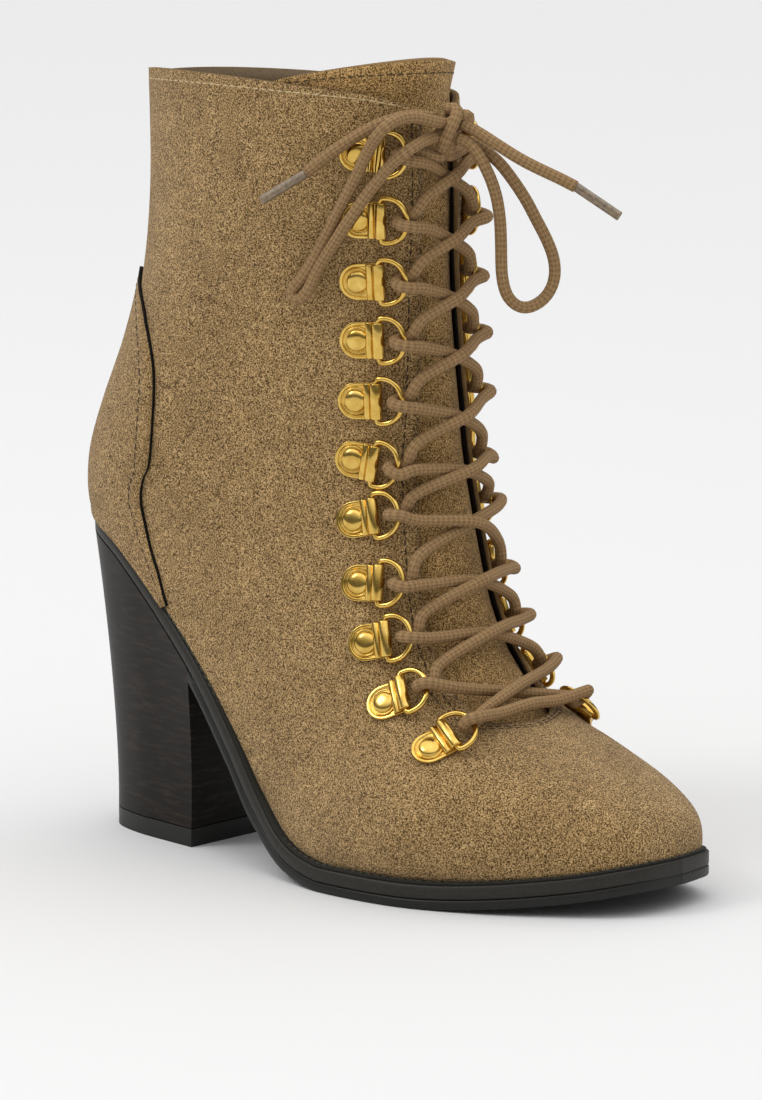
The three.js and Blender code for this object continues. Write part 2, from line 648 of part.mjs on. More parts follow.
// The lace turns round each ring's arc: up through the ring and back over the arc, at these degrees
// from the way to the throat, drawn aside by laceAside.
const laceTurn = [-60, -120, 180, 118, 50];
const laceAside = 1.3;
const laceClearance = 0.45;

function turnPoints(index, side) {
  const radius = (ringWire + laceDiameter) / 2 + laceClearance;
  return laceTurn.map((degrees, i) => {
    const turn = THREE.MathUtils.degToRad(degrees);
    const aside = -side * laceAside * (1 - (2 * i) / (laceTurn.length - 1));
    const point = new THREE.Vector3(arcReach + radius * Math.cos(turn), aside, radius * Math.sin(turn));
    return point.applyMatrix4(ringPlace).applyMatrix4(frames[side][index]);
  });
}

// A point over the facing's edge or over the throat's middle, at a height over the surface.
function overEdge(u, side, height) {
  const angle = edgeAngle(u);
  return surface(u, heightShare(angle), side).addScaledVector(outward(u, angle, side), height);
}
function overMiddle(u, height) {
  const ahead = surface(u + 0.1, 1, medial).sub(surface(u - 0.1, 1, medial));
  return surface(u, 1, medial).add(new THREE.Vector3(ahead.z, 0, -ahead.x).setLength(height));
}
const edgeLeaving = 4.6;
const edgeArriving = 3.4;
const underCross = 1.2;
const overCross = 4.3;

// From one ring down to the next lower ring across the throat.
function crossing(index, side, over) {
  const [from, to] = [hooks[index].ring, hooks[index - 1].ring];
  const at = (share) => from + (to - from) * share;
  return [
    overEdge(at(0.25), side, edgeLeaving),
    overMiddle(at(0.5), over ? overCross : underCross),
    overEdge(at(0.75), -side, edgeArriving),
  ];
}

// A strand from the knot through every ring on its way, changing sides each time.
function strand(firstSide, start) {
  const points = [start];
  let side = firstSide;
  for (let index = hooks.length - 1; index >= 0; index--) {
    points.push(...turnPoints(index, side));
    if (index > 0) {
      const fromMedial = side === medial;
      points.push(...crossing(index, side, index === lowCrossing ? !fromMedial : fromMedial));
      side = -side;
    }
  }
  return { points, side };
}
const lowCrossing = 4; // here the two strands cross the other way

// The knot and the bow in front of the top rings, each a list of points from the knot outwards.
const knotDiameter = 6;
const knotRoute = [[138.3, -0.6, 230.6], [138.1, -2.9, 225.7], [136.8, -4.1, 220.6]];
const strandStarts = { [lateral]: [136.3, -6.1, 217.6], [medial]: [136.9, -1.4, 217.6] };
const outerLoop = [
  [138.3, -5.8, 227.6], [139.2, -12.7, 228.8], [138.0, -18.5, 230.3], [136.4, -24.3, 229.9], [136.0, -30.6, 227.5],
  [129.4, -28.7, 221.7], [123.9, -28.2, 213.3], [119.0, -29.0, 204.7], [113.5, -29.5, 195.5],
  [108.2, -30.6, 186.2], [103.9, -31.7, 180.0], [101.5, -32.1, 177.5], [102.2, -32.0, 175.4],
  [105.3, -31.1, 177.1], [109.6, -30.0, 183.9], [115.0, -29.4, 191.4], [120.8, -29.3, 198.7],
  [126.3, -26.5, 207.4], [132.7, -24.5, 215.4], [139.8, -23.3, 221.1], [136.8, -10.4, 223.5], [137.4, -7.3, 223.3],
];
const outerEnd = [
  [135.2, -7.6, 229.4], [132.5, -13.5, 230.2], [130.2, -20.3, 229.1], [126.1, -24.1, 227.0],
  [121.4, -27.2, 223.7], [117.3, -30.1, 220.4], [112.5, -31.9, 216.7], [108.6, -33.3, 213.3],
];
const outerTip = [
  [107.9, -34.0, 212.5], [104.5, -39.4, 208.9], [100.9, -44.9, 205.2],
];
const innerLoop = [
  [140.8, -2.4, 223.1], [143.2, -1.4, 222.3], [145.8, -0.4, 220.0], [148.4, 0.8, 215.4], [149.7, 2.8, 210.3],
  [150.5, 4.3, 204.9], [150.6, 5.6, 198.2], [150.4, 6.3, 190.4], [150.3, 6.8, 182.3],
  [150.9, 8.1, 176.5], [152.2, 10.2, 173.4], [153.7, 12.6, 172.0], [155.3, 15.3, 172.5],
  [156.9, 18.1, 174.3], [157.9, 20.2, 176.9], [158.5, 21.5, 180.4], [158.5, 21.7, 184.3],
  [158.0, 20.8, 188.5], [156.8, 19.0, 193.4], [155.4, 16.5, 198.5], [154.3, 14.0, 203.4],
  [152.8, 11.1, 208.3], [151.2, 8.0, 212.9], [149.0, 5.9, 216.5], [144.6, 4.2, 219.6], [140.6, 1.2, 222.2],
];
const innerEnd = [
  [141.1, -0.9, 227.2], [143.3, 0.0, 226.3], [146.7, 1.3, 224.4], [150.3, 2.6, 222.2], [154.0, 4.6, 219.6],
  [158.4, 7.1, 216.7], [163.2, 10.6, 213.8], [167.2, 13.6, 211.5], [170.8, 16.2, 209.2],
];
const innerTip = [
  [171.3, 16.6, 208.8], [176.7, 20.3, 204.5], [182.1, 24.0, 200.1],
];
const vectors = (route) => route.map((point) => new THREE.Vector3(...point));
const strandStart = (side) => new THREE.Vector3(...strandStarts[side]);

const outerStrand = strand(lateral, strandStart(lateral));
const innerStrand = strand(medial, strandStart(medial));
const bottomBar = [overEdge(hooks[0].ring, outerStrand.side, edgeLeaving)];
bottomBar.push(overMiddle(hooks[0].ring, overCross), overEdge(hooks[0].ring, innerStrand.side, edgeLeaving));
const withBar = [...outerStrand.points, ...bottomBar, innerStrand.points.at(-1)];
const strandSolids = [withBar, innerStrand.points].map((points) => solidFrom(tube(points, laceDiameter, 6)));
addPart("lace_crossings", geometryOf(sheetFrom(strandSolids[0].add(strandSolids[1]))), laceCotton());


const cordSides = 8;
addPart("lace_knot", geometryOf(tube(vectors(knotRoute), knotDiameter, cordSides)), laceCotton());
for (const [name, route] of Object.entries({ loop_outer: outerLoop, loop_inner: innerLoop, end_outer: outerEnd, end_inner: innerEnd }))
  addPart(`lace_${name}`, geometryOf(tube(vectors(route), laceDiameter, cordSides)), laceCotton());
for (const [name, [start, , end]] of Object.entries({ outer: outerTip, inner: innerTip })) {
  const [from, to] = vectors([start, end]);
  to.sub(from).setLength(tipLength).add(from);
  addPart(`lace_tip_${name}`, geometryOf(tube([from, to], tipDiameter, cordSides)), clearTip());
}

boot.position.set(-bare.x, -bare.y, 0);
export default boot;
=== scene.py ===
from functools import lru_cache
from math import acos, asin, cos, floor, pi, radians, sin, sqrt

import bmesh
import bpy
from mathutils import Matrix, Vector
from mathutils.bvhtree import BVHTree


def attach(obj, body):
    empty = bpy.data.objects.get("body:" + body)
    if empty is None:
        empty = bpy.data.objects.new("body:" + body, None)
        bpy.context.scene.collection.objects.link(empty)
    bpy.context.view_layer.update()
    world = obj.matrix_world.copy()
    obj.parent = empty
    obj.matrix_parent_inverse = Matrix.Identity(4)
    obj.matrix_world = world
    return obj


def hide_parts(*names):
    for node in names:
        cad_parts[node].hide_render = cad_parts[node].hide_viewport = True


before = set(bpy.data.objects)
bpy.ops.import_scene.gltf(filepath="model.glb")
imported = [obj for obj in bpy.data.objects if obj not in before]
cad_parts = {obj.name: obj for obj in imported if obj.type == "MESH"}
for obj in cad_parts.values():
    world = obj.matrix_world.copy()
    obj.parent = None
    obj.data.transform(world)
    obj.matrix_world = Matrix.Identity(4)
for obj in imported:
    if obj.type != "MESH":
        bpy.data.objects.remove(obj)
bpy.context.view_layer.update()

# Heeled ankle boot for the right foot: X to the toe, Y to the wearer's left, Z up, in metres.
mm = 0.001
lateral, medial = -1, 1
sides = (lateral, medial)
bootShift = Vector((-108.478, 3.233, 0)) * mm  # from the seat's back edge to the middle of the boot

last = {
    "footLength": 219 * mm,
    "ballWidth": 89 * mm,
    "heelHeight": 99 * mm,
    "shaftHeight": 138 * mm,
    "soleStack": 7.6 * mm,
    "weltWidth": 3.6 * mm,
    "throatRow": 7,
    "throatRound": 1.3,
    "seatRow": 18,
    "collarRow": 25,
    "rowSpacing": 14 * mm,  # along the facings
    "flank": 2.1,  # fullness of the sides below their widest line
    "sharpFeather": 0.8,  # from here on the side meets the sole in a sharp edge
}
# sections of the last from the toe up to the collar, with the same columns as the solid model
columns = ("x", "lift", "rise", "topX", "topLift", "topRise", "half", "feather", "centre", "ridge",
           "widest", "full", "open", "welt")
sections = [dict(zip(columns, row)) for row in (
    (1.0, 0.0826, 0.0, 1.0, 0.202, 0.0, 0.0, 0.9, 0.13, 0.0, 0.5, 2.0, 0.0, 0.62),
    (0.993, 0.0804, 0.0, 0.988, 0.22, 0.034, 0.29, 0.92, 0.13, 0.0, 0.42, 2.1, 0.0, 0.62),
    (0.975, 0.0718, 0.0, 0.962, 0.2, 0.08, 0.46, 0.92, 0.12, 0.0, 0.38, 2.2, 0.0, 0.64),
    (0.94, 0.0544, 0.0, 0.924, 0.18, 0.127, 0.62, 0.92, 0.1, 0.01, 0.34, 2.2, 0.0, 0.68),
    (0.89, 0.0349, 0.0, 0.884, 0.17, 0.161, 0.76, 0.91, 0.065, 0.03, 0.32, 2.3, 0.0, 0.76),
    (0.831, 0.0175, 0.0, 0.84, 0.15, 0.204, 0.88, 0.9, 0.01, 0.05, 0.3, 2.4, 0.0, 0.86),
    (0.767, 0.0045, 0.0, 0.797, 0.14, 0.245, 0.96, 0.89, -0.05, 0.07, 0.3, 2.4, 0.0, 0.94),
    (0.708, 0.0, 0.0, 0.767, 0.13, 0.273, 1.0, 0.89, -0.09, 0.09, 0.3, 2.4, 0.3, 1.0),
    (0.644, 0.0, 0.0, 0.747, 0.13, 0.294, 1.0, 0.89, -0.115, 0.11, 0.3, 2.4, 0.36, 1.0),
    (0.566, 0.0, 0.0, 0.724, 0.13, 0.334, 0.965, 0.89, -0.125, 0.12, 0.31, 2.3, 0.41, 1.0),
    (0.489, 0.0426, 0.0, 0.701, 0.16, 0.371, 0.895, 0.87, -0.12, 0.125, 0.32, 2.2, 0.42, 0.95),
    (0.425, 0.1606, 0.0, 0.678, 0.2, 0.415, 0.82, 0.86, -0.1, 0.12, 0.33, 2.1, 0.41, 0.85),
    (0.361, 0.3555, 0.0, 0.66, 0.27, 0.459, 0.76, 0.89, -0.085, 0.11, 0.34, 2.1, 0.38, 0.6),
    (0.283, 0.57, 0.0, 0.644, 0.36, 0.503, 0.73, 0.9, -0.055, 0.1, 0.35, 2.1, 0.345, 0.3),
    (0.192, 0.769, 0.0, 0.63, 0.45, 0.539, 0.715, 0.89, -0.015, 0.08, 0.36, 2.1, 0.31, 0.15),
    (0.11, 0.9125, 0.0, 0.623, 0.52, 0.576, 0.72, 0.8, 0.0, 0.06, 0.36, 2.1, 0.28, 0.1),
    (0.04, 0.9816, 0.0, 0.619, 0.58, 0.613, 0.73, 0.6, 0.0, 0.05, 0.36, 2.2, 0.255, 0.1),
    (0.004, 0.9968, 0.0, 0.616, 0.62, 0.657, 0.735, 0.32, 0.0, 0.04, 0.36, 2.2, 0.235, 0.1),
    (-0.007, 1.0, 0.0, 0.614, 0.66, 0.693, 0.74, 0.0, 0.0, 0.03, 0.36, 2.2, 0.22, 0.1),
    (-0.012, 1.0, 0.06, 0.613, 0.72, 0.715, 0.74, 0.0, 0.0, 0.02, 0.37, 2.15, 0.205, 0.1),
    (-0.0055, 1.0, 0.14, 0.612, 0.78, 0.745, 0.74, 0.0, 0.0, 0.01, 0.39, 2.1, 0.195, 0.1),
    (0.021, 1.0, 0.25, 0.611, 0.85, 0.774, 0.742, 0.0, 0.0, 0.0, 0.42, 2.1, 0.185, 0.1),
    (0.06, 1.0, 0.39, 0.61, 0.92, 0.811, 0.748, 0.0, 0.0, 0.0, 0.46, 2.1, 0.18, 0.1),
    (0.091, 1.0, 0.55, 0.607, 0.97, 0.862, 0.755, 0.0, 0.0, 0.0, 0.49, 2.1, 0.175, 0.1),
    (0.106, 1.0, 0.76, 0.604, 1.0, 0.92, 0.76, 0.0, 0.0, 0.0, 0.5, 2.1, 0.17, 0.1),
    (0.104, 1.0, 1.0, 0.6, 1.0, 0.978, 0.76, 0.0, 0.0, 0.0, 0.5, 2.1, 0.165, 0.1),
)]


def between(a, b, c, d, t):  # a smooth way from b to c, with a and d as their neighbours
    return b + 0.5 * t * (c - a + t * (2 * a - 5 * b + 4 * c - d + t * (3 * (b - c) + d - a)))


def column(name, u):
    end = last["collarRow"]
    if u > end:
        return sections[end][name] + (sections[end][name] - sections[end - 1][name]) * (u - end)
    at = min(max(int(floor(u)), 0), end - 1)
    return between(*(sections[min(max(i, 0), end)][name] for i in range(at - 1, at + 3)), u - at)


@lru_cache(maxsize=None)
def sectionAt(u):
    width = last["ballWidth"] / 2
    before = min(int(floor(u)), last["collarRow"] - 1)
    blend = min(u - before, 1)
    bottom = last["soleStack"] + column("lift", u) * (last["heelHeight"] - last["soleStack"])
    bottom += column("rise", u) * last["shaftHeight"]
    top = column("topLift", u) * last["heelHeight"] + column("topRise", u) * last["shaftHeight"]
    return {
        "bottom": Vector((column("x", u) * last["footLength"], 0, bottom)),
        "top": Vector((column("topX", u) * last["footLength"], 0, top)),
        "half": max(column("half", u), 0) * width,
        "feather": 0 if u >= last["seatRow"] else max(column("feather", u), 0),
        "centre": column("centre", u) * width,
        "ridge": column("ridge", u) * width,
        "widest": column("widest", u),
        "full": column("full", u),
        "facing": (sections[before]["open"] * (1 - blend) + sections[before + 1]["open"] * blend) * width,
        "welt": column("welt", u) * last["weltWidth"],
    }


def openAt(u, margin=0.0):  # half the gap between the facings, or a line a margin behind their edge
    start = last["throatRow"] - margin / last["rowSpacing"]
    rounding = min(max((u - start) / (last["throatRound"] + margin / last["rowSpacing"]), 0), 1)
    return (sectionAt(u)["facing"] + margin) * sqrt(1 - (1 - rounding) ** 2)


def halfWidth(s, v):
    if v < s["widest"]:
        flank = last["flank"]
        power = 1 / flank + (1 - 1 / flank) * min(s["feather"] / last["sharpFeather"], 1)
        rise = max(1 - (1 - v / s["widest"]) ** flank, 0)
        return s["half"] * (s["feather"] + (1 - s["feather"]) * rise ** power)
    share = min((v - s["widest"]) / (1 - s["widest"]), 1)
    return s["half"] * max(1 - share ** s["full"], 0) ** (1 / s["full"])


def edgeShare(s, opening):
    share = (1 - min(opening / max(s["half"], 1e-9), 1) ** s["full"]) ** (1 / s["full"])
    return s["widest"] + (1 - s["widest"]) * share


def surface(u, v, side):  # a point of the last, v from the sole line at 0 to the top at 1
    s = sectionAt(u)
    point = s["bottom"].lerp(s["top"], v)
    point.y = s["centre"] + s["ridge"] * v + side * halfWidth(s, v)
    return point + bootShift


def heightShare(angle):
    return (1 - cos(angle)) / 2


def edgeAngle(u, margin=0.0):
    return acos(1 - 2 * edgeShare(sectionAt(u), openAt(u, margin)))


def outward(u, angle, side, step=0.04):  # the way out of the surface
    up = surface(u + step, heightShare(angle), side) - surface(u - step, heightShare(angle), side)
    across = surface(u, heightShare(angle + step), side) - surface(u, heightShare(angle - step), side)
    return (up.cross(across) * side).normalized()


def smoothLine(points, step, rounding=0):  # even points on a smooth line through the chosen ones
    fine = []
    for i in range(len(points) - 1):
        a, b = points[max(i - 1, 0)], points[i]
        c, d = points[i + 1], points[min(i + 2, len(points) - 1)]
        count = max(2, int((c - b).length / (0.25 * step)))
        for k in range(count):
            fine.append(between(a, b, c, d, k / count))
    fine.append(points[-1].copy())
    line = evenly(fine, step)
    for _ in range(rounding):  # sharp turns are eased
        eased = [(a + b * 2 + c) / 4 for a, b, c in zip(line, line[1:], line[2:])]
        line = [line[0], *eased, line[-1]]
    return line


def evenly(fine, step):
    total = sum((q - p).length for p, q in zip(fine, fine[1:]))
    count = max(1, round(total / step))
    out, walked, target = [fine[0].copy()], 0.0, total / count
    for p, q in zip(fine, fine[1:]):
        length = (q - p).length
        while length > 0 and walked + length >= target * len(out) - 1e-9 and len(out) < count:
            out.append(p.lerp(q, (target * len(out) - walked) / length))
        walked += length
    return out + [fine[-1].copy()]


# camera: at the photograph's angle, a long lens from 1.8 m
view = {
    "azimuth": 41, "elevation": 9.5, "distance": 1.8,
    "aim": (110, 0, 95), "move": (-1.03, 0.88),  # in millimetres, the second across the picture
    "lens": 194.4, "sensor": 36, "farthest": 20,
}
azimuth, elevation = radians(view["azimuth"]), radians(view["elevation"])
back = Vector((sin(azimuth) * cos(elevation), -cos(azimuth) * cos(elevation), sin(elevation)))
right = Vector((cos(azimuth), sin(azimuth), 0))
cameraData = bpy.data.cameras.new("camera")
cameraData.sensor_fit = "VERTICAL"
cameraData.sensor_height = view["sensor"]
cameraData.lens = view["lens"]
cameraData.clip_end = view["farthest"]
camera = bpy.data.objects.new("camera", cameraData)
bpy.context.scene.collection.objects.link(camera)
eye = Vector(view["aim"]) * mm + bootShift + back * view["distance"]
camera.location = eye + right * view["move"][0] * mm + back.cross(right) * view["move"][1] * mm
camera.rotation_euler = back.to_track_quat("Z", "Y").to_euler()
bpy.context.scene.camera = camera
print("camera set")


# materials
def colour(text):  # sRGB hex to linear
    values = [int(text[i:i + 2], 16) / 255 for i in (1, 3, 5)]
    return (*[c / 12.92 if c <= 0.04045 else ((c + 0.055) / 1.055) ** 2.4 for c in values], 1)


def setSockets(material, node, inputs=(), links=()):
    for name, value in dict(inputs).items():
        node.inputs[name].default_value = value
    for name, socket in dict(links).items():
        material.node_tree.links.new(socket, node.inputs[name])


def addNode(material, kind, settings=(), inputs=(), links=(), stops=()):
    node = material.node_tree.nodes.new("ShaderNode" + kind)
    for name, value in dict(settings).items():
        setattr(node, name, value)
    setSockets(material, node, inputs, links)
    if stops:
        elements = node.color_ramp.elements
        while len(elements) < len(stops):
            elements.new(0.5)
        for element, (at, tint) in zip(elements, stops):
            element.position = at
            element.color = colour(tint)
    return node


def newMaterial(name):
    material = bpy.data.materials.new(name)
    material.use_nodes = True
    shader = material.node_tree.nodes["Principled BSDF"]
    return material, shader, addNode(material, "TexCoord").outputs["Object"]


def grain(size, detail=2, rough=0.5):  # a noise's values for specks of a size in millimetres
    return {"Scale": 1 / (size * mm), "Detail": detail, "Roughness": rough}


def relief(strength, depth):  # a bump's values, with its depth in millimetres
    return {"Strength": strength, "Distance": depth * mm}


multiply = {"data_type": "RGBA", "blend_type": "MULTIPLY"}


def suedeMaterial(name, dark, middle, light):
    # split cowhide, buffed: short nap in tufts of three tones, no gloss, a soft bright rim
    material, shader, place = newMaterial(name)
    # the tufts are drawn coarser than real ones, so that they show
    nap, brushed, blotch = (
        addNode(material, "TexNoise", inputs=values, links={"Vector": place}).outputs["Fac"]
        for values in (grain(0.45, 2, 0.8), grain(2.6, 2, 0.6), grain(16, 3, 0.6)))
    tint = addNode(material, "ValToRGB", links={"Fac": nap},
                   stops=[(0.4, dark), (0.5, middle), (0.6, light)]).outputs["Color"]
    for pattern, share, stops in ((blotch, 0.75, [(0.3, "#dcd9d5"), (0.7, "#ffffff")]),
                                  (brushed, 0.6, [(0.35, "#d9d6d2"), (0.65, "#ffffff")])):
        shade = addNode(material, "ValToRGB", links={"Fac": pattern}, stops=stops).outputs["Color"]
        tint = addNode(material, "Mix", multiply, {0: share}, {6: tint, 7: shade}).outputs[2]
    under = addNode(material, "Bump", inputs=relief(0.3, 0.5), links={"Height": brushed}).outputs["Normal"]
    fibres = addNode(material, "Bump", inputs=relief(0.9, 0.5), links={"Height": nap, "Normal": under})
    setSockets(material, shader,
               {"Roughness": 0.95, "Specular IOR Level": 0.15, "Sheen Weight": 0.12, "Sheen Roughness": 0.5},
               {"Base Color": tint, "Normal": fibres.outputs["Normal"]})
    return material


def plainMaterial(name, tint, roughness, speck=0.4, specular=0.5, depth=0.1):
    # a dyed, painted or spun surface, nearly even, with a slight grain
    material, shader, place = newMaterial(name)
    specks = addNode(material, "TexNoise", inputs=grain(speck, 3, 0.6), links={"Vector": place}).outputs["Fac"]
    lighter = "#" + "".join(f"{min(255, int(int(tint[i:i + 2], 16) * 1.35 + 6)):02x}" for i in (1, 3, 5))
    shade = addNode(material, "ValToRGB", links={"Fac": specks}, stops=[(0.35, tint), (0.75, lighter)])
    rough = addNode(material, "Bump", inputs=relief(0.5, depth), links={"Height": specks})
    setSockets(material, shader, {"Roughness": roughness, "Specular IOR Level": specular},
               {"Base Color": shade.outputs["Color"], "Normal": rough.outputs["Normal"]})
    return material


def stackedHeelMaterial():
    # stained stacked leather: fine level layers, rubbed to a low shine
    material, shader, place = newMaterial("stainedStackedLeather")
    level = addNode(material, "Mapping", inputs={"Scale": (0.12, 0.12, 1.0)}, links={"Vector": place})
    layers = addNode(material, "TexNoise", inputs=grain(1.4, 3, 0.7),
                     links={"Vector": level.outputs["Vector"]}).outputs["Fac"]
    tint = addNode(material, "ValToRGB", links={"Fac": layers},
                   stops=[(0.32, "#0d0906"), (0.5, "#16100b"), (0.68, "#2e251c")])
    gloss = addNode(material, "MapRange", inputs={"To Min": 0.36, "To Max": 0.5}, links={"Value": layers})
    ridges = addNode(material, "Bump", inputs=relief(0.3, 0.2), links={"Height": layers})
    setSockets(material, shader, {"Specular IOR Level": 0.16}, {
        "Base Color": tint.outputs["Color"], "Roughness": gloss.outputs["Result"],
        "Normal": ridges.outputs["Normal"]})
    return material


def cutEdgeMaterial():
    # cut through the hide: a dark edge along the facings, its black also painted shade for the gap beside the tongue;
    # left brown round the collar
    material, shader, place = newMaterial("dyedEdgeAndGapShade")
    split = addNode(material, "SeparateXYZ", links={"Vector": place})
    height = addNode(material, "MapRange", inputs={"From Min": 0.228, "From Max": 0.232},
                     links={"Value": split.outputs["Z"]})
    # black below the collar's height: the edge's dark colour together with painted shade of the gap between facing and
    # tongue
    tint = addNode(material, "ValToRGB", links={"Fac": height.outputs["Result"]},
                   stops=[(0.0, "#0e0c0a"), (1.0, "#5f4b33")])
    fibres = addNode(material, "TexNoise", inputs=grain(0.5), links={"Vector": place})
    rough = addNode(material, "Bump", inputs=relief(0.5, 0.1), links={"Height": fibres.outputs["Fac"]})
    setSockets(material, shader, {"Roughness": 0.85, "Specular IOR Level": 0.2},
               {"Base Color": tint.outputs["Color"], "Normal": rough.outputs["Normal"]})
    return material


def goldMaterial():
    # die-cast brass, polished and plated: a yellow mirror, faintly uneven
    material, shader, place = newMaterial("polishedBrass")
    wear = addNode(material, "TexNoise", inputs=grain(3.0, 3, 0.6), links={"Vector": place}).outputs["Fac"]
    tint = addNode(material, "ValToRGB", links={"Fac": wear}, stops=[(0.3, "#c9a049"), (0.7, "#e4c26c")])
    gloss = addNode(material, "MapRange", inputs={"To Min": 0.1, "To Max": 0.2}, links={"Value": wear})
    waves = addNode(material, "Bump", inputs=relief(0.15, 0.1), links={"Height": wear})
    setSockets(material, shader, {"Metallic": 1.0}, {
        "Base Color": tint.outputs["Color"], "Roughness": gloss.outputs["Result"],
        "Normal": waves.outputs["Normal"]})
    return material


def braidMaterial():
    # round braid of waxed cotton: two sets of strands cross round the cord, read from its own map in millimetres
    material, shader, place = newMaterial("braidedCotton")
    cordMap = addNode(material, "UVMap", {"uv_map": "cordMap"})
    split = addNode(material, "SeparateXYZ", links={"Vector": cordMap.outputs["UV"]})
    strands, pitch = 5, 3.2  # strands round the cord each way, and their length along it
    waves = []
    for turn in (1, -1):
        value = addNode(material, "Math", {"operation": "MULTIPLY"}, {1: turn * strands * pitch},
                        {0: split.outputs["Y"]}).outputs[0]
        value = addNode(material, "Math", {"operation": "ADD"}, links={0: value, 1: split.outputs["X"]}).outputs[0]
        value = addNode(material, "Math", {"operation": "MULTIPLY"}, {1: 2 * pi / pitch}, {0: value}).outputs[0]
        waves.append(addNode(material, "Math", {"operation": "SINE"}, links={0: value}).outputs[0])
    weave = addNode(material, "Math", {"operation": "MULTIPLY"}, links={0: waves[0], 1: waves[1]})
    height = addNode(material, "MapRange", inputs={"From Min": -1.0, "From Max": 1.0},
                     links={"Value": weave.outputs[0]}).outputs["Result"]
    fluff = addNode(material, "TexNoise", inputs=grain(0.5, 3, 0.7), links={"Vector": place}).outputs["Fac"]
    # colour darkest where the weave sinks: painted shade in the grooves between the strands
    tint = addNode(material, "ValToRGB", links={"Fac": height},
                   stops=[(0.1, "#866a47"), (0.5, "#a08159"), (0.9, "#ab8b62")]).outputs["Color"]
    shade = addNode(material, "ValToRGB", links={"Fac": fluff},
                    stops=[(0.3, "#b9b2a8"), (0.7, "#ffffff")]).outputs["Color"]
    tint = addNode(material, "Mix", multiply, {0: 0.8}, {6: tint, 7: shade}).outputs[2]
    under = addNode(material, "Bump", inputs=relief(0.35, 0.15), links={"Height": height}).outputs["Normal"]
    rough = addNode(material, "Bump", inputs=relief(0.4, 0.2), links={"Height": fluff, "Normal": under})
    setSockets(material, shader, {"Roughness": 0.85, "Specular IOR Level": 0.3},
               {"Base Color": tint, "Normal": rough.outputs["Normal"]})
    return material


def tipMaterial():
    # clear acetate rolled tightly round the braid: glossy, with the brown showing through
    material, shader, place = newMaterial("clearAcetate")
    streaks = addNode(material, "TexNoise", inputs=grain(1.2), links={"Vector": place}).outputs["Fac"]
    tint = addNode(material, "ValToRGB", links={"Fac": streaks}, stops=[(0.3, "#5f4d38"), (0.7, "#8b765a")])
    setSockets(material, shader, {"Roughness": 0.35, "Coat Weight": 0.8, "Coat Roughness": 0.12},
               {"Base Color": tint.outputs["Color"]})
    return material


suede = suedeMaterial("buffedSuede", "#402c15", "#a5834f", "#e0be8a")
tongueSuede = suedeMaterial("tongueSuede", "#4a3216", "#b58d52", "#f2cb8c")
liningLeather = plainMaterial("liningLeather", "#5d4c35", 0.75)
cutEdge = cutEdgeMaterial()
suedeEdge = plainMaterial("suedeCutEdge", "#6f5838", 0.9, specular=0.2)
seamEdge = plainMaterial("blackedSeam", "#0e0c0a", 0.8, specular=0.2)
stackedHeel = stackedHeelMaterial()
soleLeather = plainMaterial("paintedSoleEdge", "#1d1b16", 0.5, 0.8, 0.35)
outsoleRubber = plainMaterial("outsoleRubber", "#100f0c", 0.45, 0.6, 0.35)
weltStrip = plainMaterial("weltStrip", "#191712", 0.7, 0.7, 0.25)
brass = goldMaterial()
laceBraid = braidMaterial()
laceTip = tipMaterial()
darkThread = plainMaterial("darkThread", "#2e2418", 0.8, 0.3)
brownThread = plainMaterial("brownThread", "#3e301e", 0.8, 0.3)
paleThread = plainMaterial("paleThread", "#a99773", 0.8, 0.3)
weltThread = plainMaterial("weltThread", "#37352a", 0.8, 0.3)
print("materials made")


# meshes
def newPiece(name, bm, materials):
    mesh = bpy.data.meshes.new(name)
    bm.to_mesh(mesh)
    bm.free()
    for material in materials:
        mesh.materials.append(material)
    piece = bpy.data.objects.new(name, mesh)
    bpy.context.scene.collection.objects.link(piece)
    return piece


def finishMesh(name, bm, materials, nodes=()):
    piece = newPiece(name, bm, materials)
    piece.data.polygons.foreach_set("use_smooth", [True] * len(piece.data.polygons))
    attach(piece, "root")
    if nodes:
        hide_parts(*nodes)
    return piece


def placedGrid(bm, rows, cols, place):  # a grid whose points are placed by their row and column
    for vertex in bmesh.ops.create_grid(bm, x_segments=cols, y_segments=rows, size=1)["verts"]:
        k = round((vertex.co.x + 1) / 2 * cols)
        i = round((vertex.co.y + 1) / 2 * rows)
        vertex.co = place(i, k)


def weld(bm, distance=1e-6):
    bmesh.ops.remove_doubles(bm, verts=bm.verts, dist=distance)
    bmesh.ops.dissolve_degenerate(bm, edges=bm.edges, dist=distance)
    bmesh.ops.recalc_face_normals(bm, faces=bm.faces)


def faceOutwards(bm, inside):  # an open shell's faces turned away from a point inside it
    bm.normal_update()
    if sum(1 if f.normal.dot(f.calc_center_median() - inside) > 0 else -1 for f in bm.faces) < 0:
        bmesh.ops.reverse_faces(bm, faces=bm.faces)


def moveOut(bm, distance):  # every vertex along its own normal
    bm.normal_update()
    for vertex in bm.verts:
        vertex.co += vertex.normal * distance


def addModifier(piece, kind, **settings):
    modifier = piece.modifiers.new(kind.lower(), kind)
    for name, value in settings.items():
        setattr(modifier, name, value)


def addWall(piece, thickness, offset=-1, inner=1):  # a wall with its own material inside and on its edge
    addModifier(piece, "SOLIDIFY", thickness=thickness, offset=offset, material_offset=inner, material_offset_rim=2,
                use_even_offset=False)


